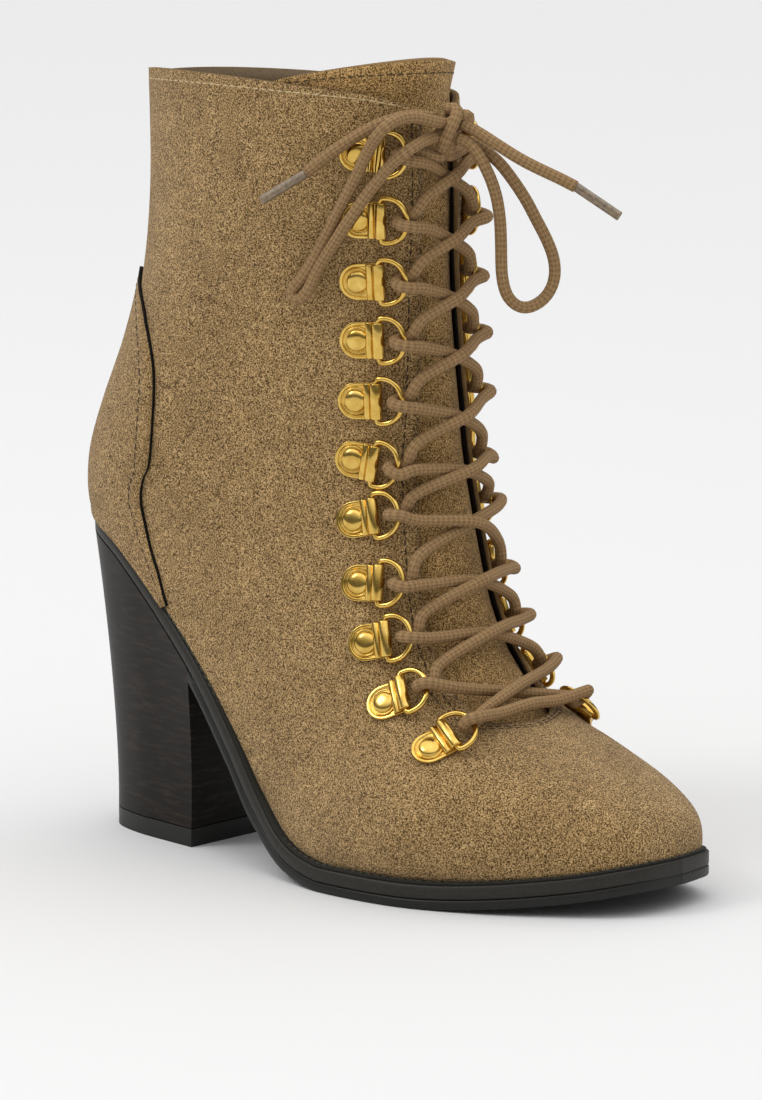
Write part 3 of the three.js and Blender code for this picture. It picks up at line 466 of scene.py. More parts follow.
def cordMesh(bm, points, diameter, around, closed=False):  # a round cord swept through even points
    uvMap = bm.loops.layers.uv.get("cordMap") or bm.loops.layers.uv.new("cordMap")
    count = len(points)
    rings, side, walked = [], None, 0.0
    for i, point in enumerate(points):
        before = points[i - 1] if closed or i > 0 else point
        after = points[(i + 1) % count] if closed or i + 1 < count else point
        along = (after - before).normalized()
        side = side or along.orthogonal()
        side = (side - along * side.dot(along)).normalized()
        other = along.cross(side)
        turns = [2 * pi * k / around for k in range(around)]
        rings.append([bm.verts.new(point + (side * cos(t) + other * sin(t)) * diameter / 2) for t in turns])
    pairs = list(zip(rings, rings[1:])) + ([(rings[-1], rings[0])] if closed else [])
    for n, (one, two) in enumerate(pairs):
        step = (points[(n + 1) % count] - points[n]).length
        for k in range(around):
            m = (k + 1) % around
            face = bm.faces.new((one[k], one[m], two[m], two[k]))
            for loop, (du, dv) in zip(face.loops, ((0, k), (0, k + 1), (1, k + 1), (1, k))):
                loop[uvMap].uv = ((walked + du * step) / mm, dv / around)
        walked += step
    if not closed:
        bm.faces.new(list(reversed(rings[0])))
        bm.faces.new(rings[-1])


# lace: routes in millimetres, close to the solid model's
lace = {
    "diameter": 3.6 * mm, "around": 12, "step": 0.9 * mm, "rounding": 8,
    "tipDiameter": 2.9 * mm, "tipLength": 15 * mm, "tipLap": 1.2 * mm, "tipEdge": 0.3 * mm,
}
outerLoop = [
    (138.3, -5.8, 227.6), (139.2, -12.7, 228.8), (138.0, -18.5, 230.3), (136.4, -24.3, 229.9), (136.0, -30.6, 227.5),
    (129.4, -28.7, 221.7), (123.9, -28.2, 213.3), (119.0, -29.0, 204.7), (113.5, -29.5, 195.5),
    (108.2, -30.6, 186.2), (103.9, -31.7, 180.0), (100.8, -32.3, 177.0), (102.9, -32.2, 174.3),
    (105.9, -31.3, 176.0), (109.6, -30.0, 183.9), (115.0, -29.4, 191.4), (120.8, -29.3, 198.7),
    (126.3, -26.5, 207.4), (132.7, -24.5, 215.4), (139.8, -23.3, 221.1), (136.8, -10.4, 223.5), (137.4, -7.3, 223.3),
]
outerEnd = [
    (135.2, -7.6, 229.4), (132.5, -13.5, 230.2), (130.2, -20.3, 229.1), (126.1, -24.1, 227.0),
    (121.4, -27.2, 223.7), (117.3, -30.1, 220.4), (112.5, -31.9, 216.7), (108.6, -33.3, 213.3),
]
outerTip = [
    (107.9, -34.0, 212.5), (104.5, -39.4, 208.9), (100.9, -44.9, 205.2),
]
innerLoop = [
    (140.8, -2.4, 223.1), (143.2, -1.4, 222.3), (145.8, -0.4, 220.0), (148.4, 0.8, 215.4), (149.7, 2.8, 210.3),
    (150.5, 4.3, 204.9), (150.6, 5.6, 198.2), (150.4, 6.3, 190.4), (150.3, 6.8, 182.3),
    (150.9, 8.1, 176.5), (152.2, 10.2, 173.4), (153.7, 12.6, 172.0), (155.3, 15.3, 172.5),
    (156.9, 18.1, 174.3), (157.9, 20.2, 176.9), (158.5, 21.5, 180.4), (158.5, 21.7, 184.3),
    (158.0, 20.8, 188.5), (156.8, 19.0, 193.4), (155.4, 16.5, 198.5), (154.3, 14.0, 203.4),
    (152.8, 11.1, 208.3), (151.2, 8.0, 212.9), (149.0, 5.9, 216.5), (144.6, 4.2, 219.6), (140.6, 1.2, 222.2),
]
innerEnd = [
    (141.1, -0.9, 227.2), (143.3, 0.0, 226.3), (146.7, 1.3, 224.4), (150.3, 2.6, 222.2), (154.0, 4.6, 219.6),
    (158.4, 7.1, 216.7), (163.2, 10.6, 213.8), (167.2, 13.6, 211.5), (170.8, 16.2, 209.2),
]
innerTip = [
    (171.3, 16.6, 208.8), (176.7, 20.3, 204.5), (182.1, 24.0, 200.1),
]


def route(points):
    return [Vector(p) * mm + bootShift for p in points]


cordRoutes = {
    "lace_loop_outer": (outerLoop, "knot", "hanging"),
    "lace_loop_inner": (innerLoop, "knot", "hanging"),
    "lace_end_outer": (outerEnd, "fitting", "loose"),
    "lace_end_inner": (innerEnd, "fitting", "loose"),
}
tips = {}
for name, tipRoute in (("lace_tip_outer", outerTip), ("lace_tip_inner", innerTip)):
    start, _, end = route(tipRoute)
    along = (end - start).normalized()
    start, end = start - along * lace["tipLap"], start + along * lace["tipLength"]
    bm = bmesh.new()
    cordMesh(bm, evenly([start, end], 1 * mm), lace["tipDiameter"], lace["around"])
    tips[name] = finishMesh("tip_" + name[-5:], bm, [laceTip], [name])
    addModifier(tips[name], "BEVEL", width=lace["tipEdge"], segments=2, limit_method="ANGLE", angle_limit=radians(60))
for name, (points, farEnd, lay) in cordRoutes.items():
    line = smoothLine(route(points), lace["step"], lace["rounding"])
    bm = bmesh.new()
    cordMesh(bm, line, lace["diameter"], lace["around"])
    cord = finishMesh("cord_" + name[5:], bm, [laceBraid], [name])
print("cords laid")

# the knot: a short wrap over the crossing of the four cords, with its back turn
knot = {
    "turns": [
        [(137.2, -3.4, 231.6), (140.2, -2.4, 231.5), (141.6, -4.6, 228.9),
         (141.0, -6.4, 225.6), (139.6, -7.0, 222.4), (137.6, -6.0, 220.1)],  # the wrap
        [(140.9, -5.6, 228.0), (138.6, -3.6, 227.2), (138.6, -1.6, 227.0), (141.4, -0.6, 227.2)],  # behind it
        [(137.3, -7.4, 224.6), (137.8, -4.2, 224.0), (138.8, -2.6, 223.8), (141.0, -2.2, 223.2)],  # below it
        [(139.2, -1.8, 227.6), (141.0, -0.6, 229.6), (142.4, 0.5, 229.4), (142.0, 0.6, 227.6)],  # on the inner side
    ],
    "stems": [  # down to the rings, outer and inner
        [(136.3, -6.1, 217.6), (137.0, -4.6, 219.6), (138.0, -3.4, 222.6)],
        [(136.9, -1.4, 217.6), (137.8, -2.6, 220.2), (138.6, -3.2, 223.0)],
    ],
    "swell": 1.05,
    "step": 0.6 * mm,
}
bm = bmesh.new()
for turn in knot["turns"]:
    cordMesh(bm, smoothLine(route(turn), knot["step"]), lace["diameter"] * knot["swell"], lace["around"])
finishMesh("knot", bm, [laceBraid], ["lace_knot"])
print("knot tied")


# uppers
upper = {
    "wall": 2 * mm, "hide": 1.2 * mm, "columns": 56,
    "corner": 5 * mm, "cornerRows": 14, "cornerStart": 0.78, "cornerCurve": 2.4, "cornerMost": 0.8,
    "bow": 4.5 * mm, "bowCurve": 1.2,
}


def cornerRow(u, share):  # the collar's front corner, rounded off downwards
    start = last["collarRow"] - 1
    if u <= start:
        return u
    near = max((share - upper["cornerStart"]) / (1 - upper["cornerStart"]), 0) ** upper["cornerCurve"]
    drop = upper["corner"] / last["shaftHeight"] * upper["cornerRows"] * near
    return start + (u - start) * (1 - min(drop, upper["cornerMost"]))


def upperPoint(u, share, side, margin=0.0):
    lowered = cornerRow(u, share)
    point = surface(lowered, heightShare(edgeAngle(lowered, margin) * share), side)
    if side == lateral:
        raised = max(sin(pi * share), 0) ** upper["bowCurve"] * max(u - last["collarRow"] + 1, 0) ** 2
        point.z += upper["bow"] * raised
    return point


def upperNormal(u, share, side):
    lowered = cornerRow(u, share)
    return outward(lowered, max(edgeAngle(lowered) * share, 0.06), side)


def rowsBetween(start, end, step):
    count = max(1, round((end - start) / step))
    return [start + (end - start) * i / count for i in range(count + 1)]


# close rows where the toe and the throat turn tightly
upperRows = sorted(set(
    [0, 0.03, 0.08, 0.15] + rowsBetween(0.25, 2, 0.125) + rowsBetween(2, last["throatRow"], 0.2)
    + [7.01, 7.03, 7.06, 7.1, 7.15, 7.2, 7.3, 7.4] + rowsBetween(7.5, last["collarRow"], 0.2)))
bm = bmesh.new()
for side in sides:
    placedGrid(bm, len(upperRows) - 1, upper["columns"],
               lambda i, k: upperPoint(upperRows[i], k / upper["columns"], side))
weld(bm)
faceOutwards(bm, Vector((0, 0, 0.05)))
upperSkin = BVHTree.FromBMesh(bm)
liningShell = bm.copy()
moveOut(liningShell, -upper["hide"])
addWall(finishMesh("suedeUpper", bm, [suede, liningLeather, suedeEdge], ["upper"]), upper["hide"])
addWall(finishMesh("upperLining", liningShell, [liningLeather, liningLeather, cutEdge], ["upper"]),
        upper["wall"] - upper["hide"], inner=0)
print("upper made")

# tongue: under the facings, its top edge bowed
tongue = {
    "thickness": 2.4 * mm, "clearance": 0.9 * mm, "rise": 11 * mm, "lean": 3 * mm,
    "foot": 0.6, "top": 0.984, "footRow": 6.4, "columns": 26,
    "edgeRise": 0.2, "crownSkew": 1.15, "crownCurve": 0.7,
}


def tongueCrown(across):  # the top edge's rise from the outer side to the inner one
    arch = max(sin(pi * min(across * tongue["crownSkew"], 1)), 0) ** tongue["crownCurve"]
    return tongue["edgeRise"] + (1 - tongue["edgeRise"]) * arch


def tonguePoint(u, share, side, lift=0.0):
    s = sectionAt(u)
    up = max(u - last["throatRow"], 0) / (last["collarRow"] - last["throatRow"])
    start = edgeShare(s, s["half"] * (tongue["foot"] + (tongue["top"] - tongue["foot"]) * up))
    first = acos(1 - 2 * start)
    angle = first + (pi - first) * share
    point = surface(u, heightShare(angle), side)
    raised = lift * tongueCrown(share / 2 if side == lateral else 1 - share / 2)
    point.z += raised * tongue["rise"]
    point.x += raised * tongue["lean"]
    return point


tongueRows = [(u, 0.0) for u in rowsBetween(tongue["footRow"], last["collarRow"], 0.25)]
tongueRows += [(last["collarRow"], n / 8) for n in range(1, 9)]
bm = bmesh.new()
for side in sides:
    placedGrid(bm, len(tongueRows) - 1, tongue["columns"],
               lambda i, k: tonguePoint(tongueRows[i][0], k / tongue["columns"], side, tongueRows[i][1]))
weld(bm)
faceOutwards(bm, Vector((0, 0, 0.15)))
moveOut(bm, -(upper["wall"] + tongue["clearance"]))
tongueSkin = BVHTree.FromBMesh(bm)
addWall(finishMesh("paddedTongue", bm, [tongueSuede, liningLeather, suedeEdge], ["tongue"]),
        tongue["thickness"])
print("tongue made")

# counter: an overlay round the heel with a raw dark seam
counter = {
    "thickness": 1.1 * mm, "clearance": 0.15 * mm, "columns": 16, "bottomRow": 13.8, "easing": 1.1,
    # share of the way up from the sole line at which each row meets the seam
    "seam": {13: 0.0, 14: 0.03, 15: 0.15, 16: 0.24, 17: 0.305, 18: 0.335, 19: 0.35, 20: 0.352,
             21: 0.335, 22: 0.235, 23: 0.06},
}
seamStart, seamEnd = min(counter["seam"]), max(counter["seam"])


def seamShare(u):
    at = min(max(int(floor(u)), seamStart), seamEnd - 1)
    return between(*(counter["seam"][min(max(i, seamStart), seamEnd)] for i in range(at - 1, at + 3)), u - at)


def seamAngle(u):  # averaged over neighbouring rows, so that the cut runs smoothly
    reach = min(counter["easing"], max(u - seamStart - 0.2, 0), max(seamEnd - u, 0))
    share = sum(seamShare(u + reach * n / 4) for n in range(-4, 5)) / 9
    return acos(1 - 2 * max(share, 0.0004))


counterRows = rowsBetween(counter["bottomRow"], seamEnd, 0.1)
bm = bmesh.new()
for side in sides:
    placedGrid(bm, len(counterRows) - 1, counter["columns"], lambda i, k: surface(
        counterRows[i], heightShare(seamAngle(counterRows[i]) * k / counter["columns"]), side))
weld(bm)
faceOutwards(bm, Vector((-0.05, 0, 0.13)))
moveOut(bm, counter["clearance"])
addWall(finishMesh("heelCounter", bm, [suede, suede, seamEdge], ["counter"]), counter["thickness"],
        offset=1, inner=0)
print("counter made")

# soles
sole = {
    "outsole": 3 * mm, "midsole": 4 * mm, "gap": 0.3 * mm, "breast": 58 * mm, "bevel": 0.4 * mm,
    "flatRows": (7, 9),  # under the ball, where it lies on the floor
}


def rowAtLength(length):
    front, rear = 0.0, float(last["seatRow"])
    for _ in range(40):
        middle = (front + rear) / 2
        if column("x", middle) * last["footLength"] > length:
            front = middle
        else:
            rear = middle
    return rear


breastRow = rowAtLength(sole["breast"])
soleRows = sorted(set(
    [0, 0.02, 0.05, 0.1, 0.17, 0.25, 0.35, 0.5, 0.7] + rowsBetween(1, last["seatRow"], 0.2)
    + [17.3, 17.5, 17.7, 17.85, 17.95, breastRow]))


def soleLevel(u, x):  # the sole line's level beside row u, at x from the seat
    here, ahead = sectionAt(u)["bottom"], sectionAt(min(u + 0.05, last["seatRow"]))["bottom"]
    behind = sectionAt(max(u - 0.05, 0))["bottom"]
    slope = (ahead.z - behind.z) / min(ahead.x - behind.x, -1e-6)
    if sole["flatRows"][0] <= u <= sole["flatRows"][1]:
        slope = 0.0
    return max(here.z + slope * (x - here.x), last["soleStack"]), slope


def soleOutline(margin):  # right and left points of the sole line at each row, moved out by a margin
    end = len(soleRows) - 1
    chain = [surface(u, 0, lateral) - bootShift for u in soleRows]
    chain += [surface(u, 0, medial) - bootShift for u in reversed(soleRows[1:-1])]
    count = len(chain)
    moved = []
    for i, point in enumerate(chain):
        along = chain[(i + 1) % count] - chain[i - 1]
        along.z = 0
        along.normalize()
        u = soleRows[i if i <= end else 2 * end - i]
        by = margin(u)
        moved.append((u, Vector((point.x - along.y * by, point.y + along.x * by, 0))))
    return moved


def soleSlab(bm, outline, above, below, bevel):  # the side of a slab along an outline, as level rings
    count = len(outline)
    middleLine = [outline[i][1].lerp(outline[-i][1], 0.5) if i else outline[0][1] for i in range(count)]
    rings = []
    for level, inset in ((above, bevel), (above - bevel, 0), (below + bevel, 0), (below, bevel)):
        ring = []
        for i, (u, point) in enumerate(outline):
            inward = middleLine[i] - point
            inward = inward.normalized() * min(inset, inward.length) if inward.length > 1e-6 else inward
            z, slope = soleLevel(u, point.x)
            place = point + inward
            place.z = z + level * sqrt(1 + slope * slope)
            ring.append(bm.verts.new(place + bootShift))
        rings.append(ring)
    for one, two in zip(rings, rings[1:]):
        for k in range(count):
            bm.faces.new((one[k], two[k], two[(k + 1) % count], one[(k + 1) % count]))
    return rings


def closeSole(bm, ring, up):  # rungs across the outline
    n = len(ring)
    for i in range(n // 2):
        corners = [ring[i], ring[i + 1], ring[n - 1 - i], ring[(n - i) % n]]
        unique = list(dict.fromkeys(corners))
        if len(unique) >= 3:
            try:
                bm.faces.new(unique if up else list(reversed(unique)))
            except ValueError:
                continue


def solePiece(name, outline, above, below, material, node):
    bm = bmesh.new()
    rings = soleSlab(bm, outline, above, below, sole["bevel"])
    closeSole(bm, rings[0], True)
    closeSole(bm, rings[-1], False)
    weld(bm, 1e-7)
    finishMesh(name, bm, [material], [node])


weltRing = soleOutline(lambda u: sectionAt(u)["welt"])
gap = sole["gap"]
midTop = -gap
midBottom = midTop - sole["midsole"]
outTop = midBottom - gap
outBottom = outTop - sole["outsole"]
# the midsole's edge hides most of the gap below it
solePiece("midsole_edge", weltRing, midTop, midBottom - gap * 0.6, soleLeather, "midsole")
frontRing = [(u, p) for u, p in weltRing if u <= breastRow + 1e-6]
frontRing = [(u, p + Vector((gap, 0, 0)) if u >= breastRow - 1e-6 else p) for u, p in frontRing]
solePiece("outsole_layer", frontRing, outTop, outBottom, outsoleRubber, "outsole")
print("soles made")

# heel: the seat's outline behind the breast, drawn in towards the lift
heel = {
    "footLength": 48 * mm, "footWidth": 48.5 * mm, "curve": 1.5, "rake": 4 * mm, "lift": 6 * mm,
    "levels": 28, "breastSteps": 14, "edge": 0.7 * mm, "liftEdge": 0.4 * mm,
}
rearRing = [(u, p) for u, p in weltRing if u >= breastRow - 1e-6]
breastX = rearRing[0][1].x
seatLow = Vector((min(p.x for _, p in rearRing), min(p.y for _, p in rearRing)))
seatHigh = Vector((max(p.x for _, p in rearRing), max(p.y for _, p in rearRing)))
heelRing = rearRing + [(breastRow, rearRing[-1][1].lerp(rearRing[0][1], n / heel["breastSteps"]))
                       for n in range(1, heel["breastSteps"])]


def heelPoint(i, share):
    u, point = heelRing[i % len(heelRing)]
    spread = share ** heel["curve"]
    long = spread + (1 - spread) * heel["footLength"] / (seatHigh.x - seatLow.x)
    wide = spread + (1 - spread) * heel["footWidth"] / (seatHigh.y - seatLow.y)
    z, slope = soleLevel(u, point.x)
    level = z + outTop * sqrt(1 + slope * slope)
    middle = (seatLow.y + seatHigh.y) / 2
    x = breastX - (breastX - point.x) * long - heel["rake"] * (1 - share)
    return Vector((x, middle + (point.y - middle) * wide, heel["lift"] + (level - heel["lift"]) * share)) + bootShift


def heelBlock(name, levels, place, material, node, edge, segments):
    bm = bmesh.new()
    placedGrid(bm, levels, len(heelRing), place)
    weld(bm)
    bmesh.ops.holes_fill(bm, edges=[e for e in bm.edges if len(e.link_faces) < 2], sides=0)
    bmesh.ops.triangulate(bm, faces=[f for f in bm.faces if len(f.verts) > 4])
    bmesh.ops.recalc_face_normals(bm, faces=bm.faces)
    piece = finishMesh(name, bm, [material], [node])
    addModifier(piece, "BEVEL", width=edge, segments=segments, limit_method="ANGLE", angle_limit=radians(40))
    addModifier(piece, "WEIGHTED_NORMAL", keep_sharp=True)


liftLevels = (heel["lift"] - gap, 0)
heelBlock("stackedHeel", heel["levels"], lambda i, k: heelPoint(k, 1 - i / heel["levels"]),
          stackedHeel, "heel", heel["edge"], 3)
heelBlock("topPiece", 1, lambda i, k: Vector((*heelPoint(k, 0).xy, liftLevels[i])),
          outsoleRubber, "heel_lift", heel["liftEdge"], 2)
print("heel made")

# lacing hardware: plate, rivet, fold and ring at each place, the same places as in the solid model
hook = {
    "rivetInset": 20 * mm, "ringInset": 8.5 * mm, "plateWidth": 11 * mm, "plateLength": 14 * mm,
    "plateThickness": 0.9 * mm, "plateClearance": 0.45 * mm, "rivetDiameter": 6.8 * mm, "rivetHeight": 1.3 * mm,
    "foldThickness": 0.7 * mm, "ringWidth": 15.2 * mm, "ringDepth": 9.8 * mm, "ringWire": 1.7 * mm, "ringTilt": 4,
    "rim": 0.85 * mm, "rimSlope": 0.25 * mm, "recess": 0.4 * mm, "edge": 0.16 * mm,
    "ridgeRadius": 1.25 * mm, "ridgeLift": 0.2 * mm, "foldEdge": 0.25 * mm, "foldInset": 0.2 * mm,
    "ringCorner": 1.2 * mm, "ringBend": 0.35 * mm,
    # for each place from the toe up, the rows of the ring and of the rivet
    "rows": [(7.6, 8.25), (10.05, 10.45), (11.5, 11.8), (12.5, 12.8), (13.75, 13.9), (14.85, 15.25), (16.6, 16.95),
             (18.65, 19.05), (20.4, 20.7), (21.9, 22.15), (23.45, 23.65)],
}
foldInner = hook["ringWire"] / 2 + gap
foldOuter = foldInner + hook["foldThickness"]
barX = hook["plateLength"] / 2 - foldOuter
rivetX = hook["plateWidth"] / 2 - hook["plateLength"] / 2


def inFromEdge(u, length, side, steps=60):  # the point a length behind the facing's edge, and its angle
    start = edgeAngle(u)
    before, walked = surface(u, heightShare(start), side), 0.0
    for k in range(1, steps + 1):
        angle = start * (1 - k / steps)
        point = surface(u, heightShare(angle), side)
        step = (point - before).length
        if walked + step >= length:
            return before.lerp(point, (length - walked) / step), angle
        walked, before = walked + step, point


def hookFrame(ringRow, rivetRow, side):
    share = -rivetX / (hook["rivetInset"] - hook["ringInset"])
    u = rivetRow + (ringRow - rivetRow) * share
    point, angle = inFromEdge(u, hook["rivetInset"] + rivetX, side)
    normal = outward(u, angle, side, 0.05)
    along = inFromEdge(ringRow, hook["ringInset"], side)[0] - inFromEdge(rivetRow, hook["rivetInset"], side)[0]
    along = (along - normal * along.dot(normal)).normalized()
    other = normal.cross(along)
    place = Matrix((along, other, normal)).transposed().to_4x4()
    place.translation = point + normal * hook["plateClearance"]
    return place


def spunProfile(bm, profile, steps):  # a turned piece round Z
    points = [bm.verts.new((x, 0, z)) for x, z in profile]
    edges = [bm.edges.new(pair) for pair in zip(points, points[1:])]
    bmesh.ops.spin(bm, geom=points + edges, cent=(0, 0, 0), axis=(0, 0, 1), angle=2 * pi, steps=steps, use_merge=True)
    bmesh.ops.remove_doubles(bm, verts=bm.verts, dist=1e-7)
    bmesh.ops.recalc_face_normals(bm, faces=bm.faces)


def highest(faces):
    return max(faces, key=lambda f: f.calc_center_median().z)


def plateMesh():
    half, thick, barEnd = hook["plateWidth"] / 2, hook["plateThickness"], barX - foldOuter * 0.2
    bm = bmesh.new()
    bmesh.ops.create_circle(bm, cap_ends=True, segments=64, radius=half)
    for vertex in bm.verts:
        if vertex.co.x > 1e-6:  # the front half becomes a straight edge
            k = round(asin(vertex.co.y / half) / pi * 32)
            vertex.co = Vector((barEnd - rivetX, half * k / 15, 0))
    bmesh.ops.translate(bm, verts=bm.verts, vec=(rivetX, 0, 0))
    bmesh.ops.dissolve_limit(bm, angle_limit=radians(1), verts=bm.verts, edges=bm.edges)
    top = bmesh.ops.extrude_face_region(bm, geom=bm.faces[:])
    raised = [g for g in top["geom"] if isinstance(g, bmesh.types.BMVert)]
    bmesh.ops.translate(bm, verts=raised, vec=(0, 0, thick))
    bmesh.ops.recalc_face_normals(bm, faces=bm.faces)
    # a raised rim round a shallow recess
    bmesh.ops.inset_region(bm, faces=[highest(bm.faces)], thickness=hook["rim"], depth=0)
    cover = highest([f for f in bm.faces if len(f.verts) > 4 and f.normal.z > 0.9])
    bmesh.ops.inset_region(bm, faces=[cover], thickness=hook["rimSlope"], depth=-hook["recess"])
    sharp = [e for e in bm.edges if len(e.link_faces) == 2 and e.calc_face_angle(0) > radians(35)]
    bmesh.ops.bevel(bm, geom=sharp, offset=hook["edge"], segments=2, profile=0.5, affect="EDGES", material=-1)
    # the rivet: a domed head in a low collar, as widths beyond the head and heights over the recess in millimetres
    low = thick - hook["recess"]
    radius = hook["rivetDiameter"] / 2
    domeFoot = low + 0.15 * mm
    profile = [(radius + out * mm, low + up * mm)
               for out, up in ((0.75, -0.2), (0.7, 0.35), (0.45, 0.5), (0.2, 0.3), (0, 0.12))]
    profile += [(radius * cos(t) ** 0.7, domeFoot + hook["rivetHeight"] * sin(t))
                for t in (radians(n * 11.25) for n in range(1, 8))]
    rivet = bmesh.new()
    spunProfile(rivet, profile + [(0, domeFoot + hook["rivetHeight"])], 40)
    bmesh.ops.translate(rivet, verts=rivet.verts, vec=(rivetX, 0, 0))
    # the fold round the ring's bar, and a ridge behind it
    folds = bmesh.new()
    for x, z, r in ((barX, foldOuter, foldOuter),
                    (barX - foldOuter * 1.5, thick + hook["ridgeLift"], hook["ridgeRadius"])):
        made = bmesh.ops.create_cone(folds, cap_ends=True, segments=28, radius1=r, radius2=r,
                                     depth=hook["plateWidth"] - hook["foldInset"])
        bmesh.ops.rotate(folds, verts=made["verts"], matrix=Matrix.Rotation(pi / 2, 3, "X"))
        bmesh.ops.translate(folds, verts=made["verts"], vec=(x, 0, z))
    rims = [e for e in folds.edges if e.calc_face_angle(0) > radians(60)]
    bmesh.ops.bevel(folds, geom=rims, offset=hook["foldEdge"], segments=2, profile=0.5, affect="EDGES", material=-1)
    mesh = bpy.data.meshes.new("plateParts")
    for part in (rivet, folds):
        part.to_mesh(mesh)
        part.free()
        bm.from_mesh(mesh)
    return bm


def ringLine():  # a D: the bar in the fold, and an arc a little squarer than a circle's
    reach, half = hook["ringDepth"] - hook["ringWire"], (hook["ringWidth"] - hook["ringWire"]) / 2
    corner, bend = hook["ringCorner"], hook["ringBend"]
    arc = [(corner + (reach - corner) * sin(t) ** 0.8, -half * cos(t)) for t in (pi * k / 30 for k in range(31))]
    line = [(0, corner - half), (bend, bend - half), *arc, (bend, half - bend), (0, half - corner)]
    return [Vector((x, y, 0)) for x, y in line]


ringPlace = Matrix.Translation((barX, 0, foldOuter)) @ Matrix.Rotation(-radians(hook["ringTilt"]), 4, "Y")
sideNames = {lateral: "outer", medial: "inner"}
frames = {side: [hookFrame(*rows, side) for rows in hook["rows"]] for side in sides}
plateMaster = plateMesh()
ringMaster = bmesh.new()
cordMesh(ringMaster, ringLine(), hook["ringWire"], 12, closed=True)
for vertex in ringMaster.verts:
    vertex.co = ringPlace @ vertex.co
for side in sides:
    for i, place in enumerate(frames[side]):
        for master, kind in ((plateMaster, "plate"), (ringMaster, "ring")):
            bm = master.copy()
            for vertex in bm.verts:
                vertex.co = place @ vertex.co
            spot = f"{sideNames[side]}_{i + 1}"
            finishMesh(f"{kind}Brass_{spot}", bm, [brass], [f"{kind}_{spot}"])
plateMaster.free()
ringMaster.free()
print("hardware set")

# lace through the rings: down from the knot, under each arc, up through the ring, over it and across
crossing = {
    "cord": 3.5 * mm,  # as thick as the solid model's
    "turn": [-60, -120, 180, 118, 50],  # degrees round the ring's arc
    "aside": 1.3 * mm, "clearance": 0.3 * mm, "leaving": 4.2 * mm, "arriving": 3.2 * mm,
    "under": 1.2 * mm, "over": 4.6 * mm, "otherWay": 4,
}


def turnPoints(index, side):
    reach = hook["ringDepth"] - hook["ringWire"]
    radius = (hook["ringWire"] + crossing["cord"]) / 2 + crossing["clearance"]
    count = len(crossing["turn"]) - 1
    out = []
    for i, turn in enumerate(crossing["turn"]):
        aside = -side * crossing["aside"] * (1 - 2 * i / count)
        point = Vector((reach + radius * cos(radians(turn)), aside, radius * sin(radians(turn))))
        out.append(frames[side][index] @ (ringPlace @ point))
    return out


def overEdge(u, side, height):
    angle = edgeAngle(u)
    return surface(u, heightShare(angle), side) + outward(u, angle, side, 0.05) * height


def overMiddle(u, height):
    ahead = surface(u + 0.1, 1, medial) - surface(u - 0.1, 1, medial)
    return surface(u, 1, medial) + Vector((ahead.z, 0, -ahead.x)).normalized() * height


def crossOver(index, side, over):
    start, end = hook["rows"][index][0], hook["rows"][index - 1][0]
    rows = [start + (end - start) * share for share in (0.25, 0.5, 0.75)]
    return [overEdge(rows[0], side, crossing["leaving"]), overMiddle(rows[1], crossing["over" if over else "under"]),
            overEdge(rows[2], -side, crossing["arriving"])]


def strand(side, stem):
    points = list(reversed(route(stem)))
    for index in reversed(range(len(hook["rows"]))):
        points += turnPoints(index, side)
        if index:
            points += crossOver(index, side, (side == medial) != (index == crossing["otherWay"]))
            side = -side
    return points, side


outerStrand, outerLast = strand(lateral, knot["stems"][0])
innerStrand, innerLast = strand(medial, knot["stems"][1])
barRow = hook["rows"][0][0]
bar = [overEdge(barRow, outerLast, crossing["leaving"]), overMiddle(barRow, crossing["over"]),
       overEdge(barRow, innerLast, crossing["leaving"])]
bm = bmesh.new()
for points in (outerStrand + bar + [innerStrand[-1]], innerStrand):
    cordMesh(bm, smoothLine(points, lace["step"]), lace["diameter"], lace["around"])
finishMesh("laceCrossings", bm, [laceBraid], ["lace_crossings"])
print("lace threaded")


# stitches: short lengths of thread along runs of points, each with its way out of the surface
stitch = {
    "length": 2.2 * mm, "pitch": 2.9 * mm, "thread": 0.62 * mm, "sink": 0.1 * mm,
    # distances from the facing's edge, the seam, the tongue's top and the collar
    "facing": 3.0 * mm, "throat": 5.2 * mm, "throatTop": 62 * mm,
    "seam": 2.0 * mm, "seamHeight": 20 * mm, "tongue": 2.8 * mm, "collar": 1.9 * mm, "collarEnd": 0.965,
}


def stitchRow(bm, run, skin=None, values=stitch):
    if skin:
        run = [(skin.find_nearest(p)[0], way) for p, way in run]
    points = [p for p, _ in run]
    total = sum((q - p).length for p, q in zip(points, points[1:]))
    thick, thin = values["thread"] / 2, values["thread"] / 4
    place, walked, at = 0.5 * values["pitch"], 0.0, 0
    for _ in range(int(total / values["pitch"])):
        while at < len(run) - 2 and walked + (points[at + 1] - points[at]).length < place:
            walked += (points[at + 1] - points[at]).length
            at += 1
        gapLength = max((points[at + 1] - points[at]).length, 1e-9)
        t = min((place - walked) / gapLength, 1)
        here = points[at].lerp(points[at + 1], t)
        out = run[at][1].lerp(run[at + 1][1], t).normalized()
        along = (points[at + 1] - points[at]).normalized()
        along = (along - out * along.dot(out)).normalized()
        basis = Matrix((along.cross(out), out, along)).transposed().to_4x4()
        basis.translation = here - out * values["sink"]
        for way, start, end in ((-1, thin, thick), (1, thick, thin)):
            bmesh.ops.create_cone(bm, cap_ends=True, segments=6, radius1=start, radius2=end, depth=values["length"] / 2,
                                  matrix=basis @ Matrix.Translation((0, 0, way * values["length"] / 4)))
        place += values["pitch"]


def facingRun(side, margin):  # a line behind the facing's edge, down to the throat's end
    rows = rowsBetween(last["throatRow"] - margin / last["rowSpacing"] + 0.002, 8.5, 0.02)
    rows += rowsBetween(8.6, last["collarRow"] - 0.25, 0.15)
    angles = [edgeAngle(u, margin) for u in rows]
    return [(surface(u, heightShare(angle), side), outward(u, angle, side)) for u, angle in zip(rows, angles)]


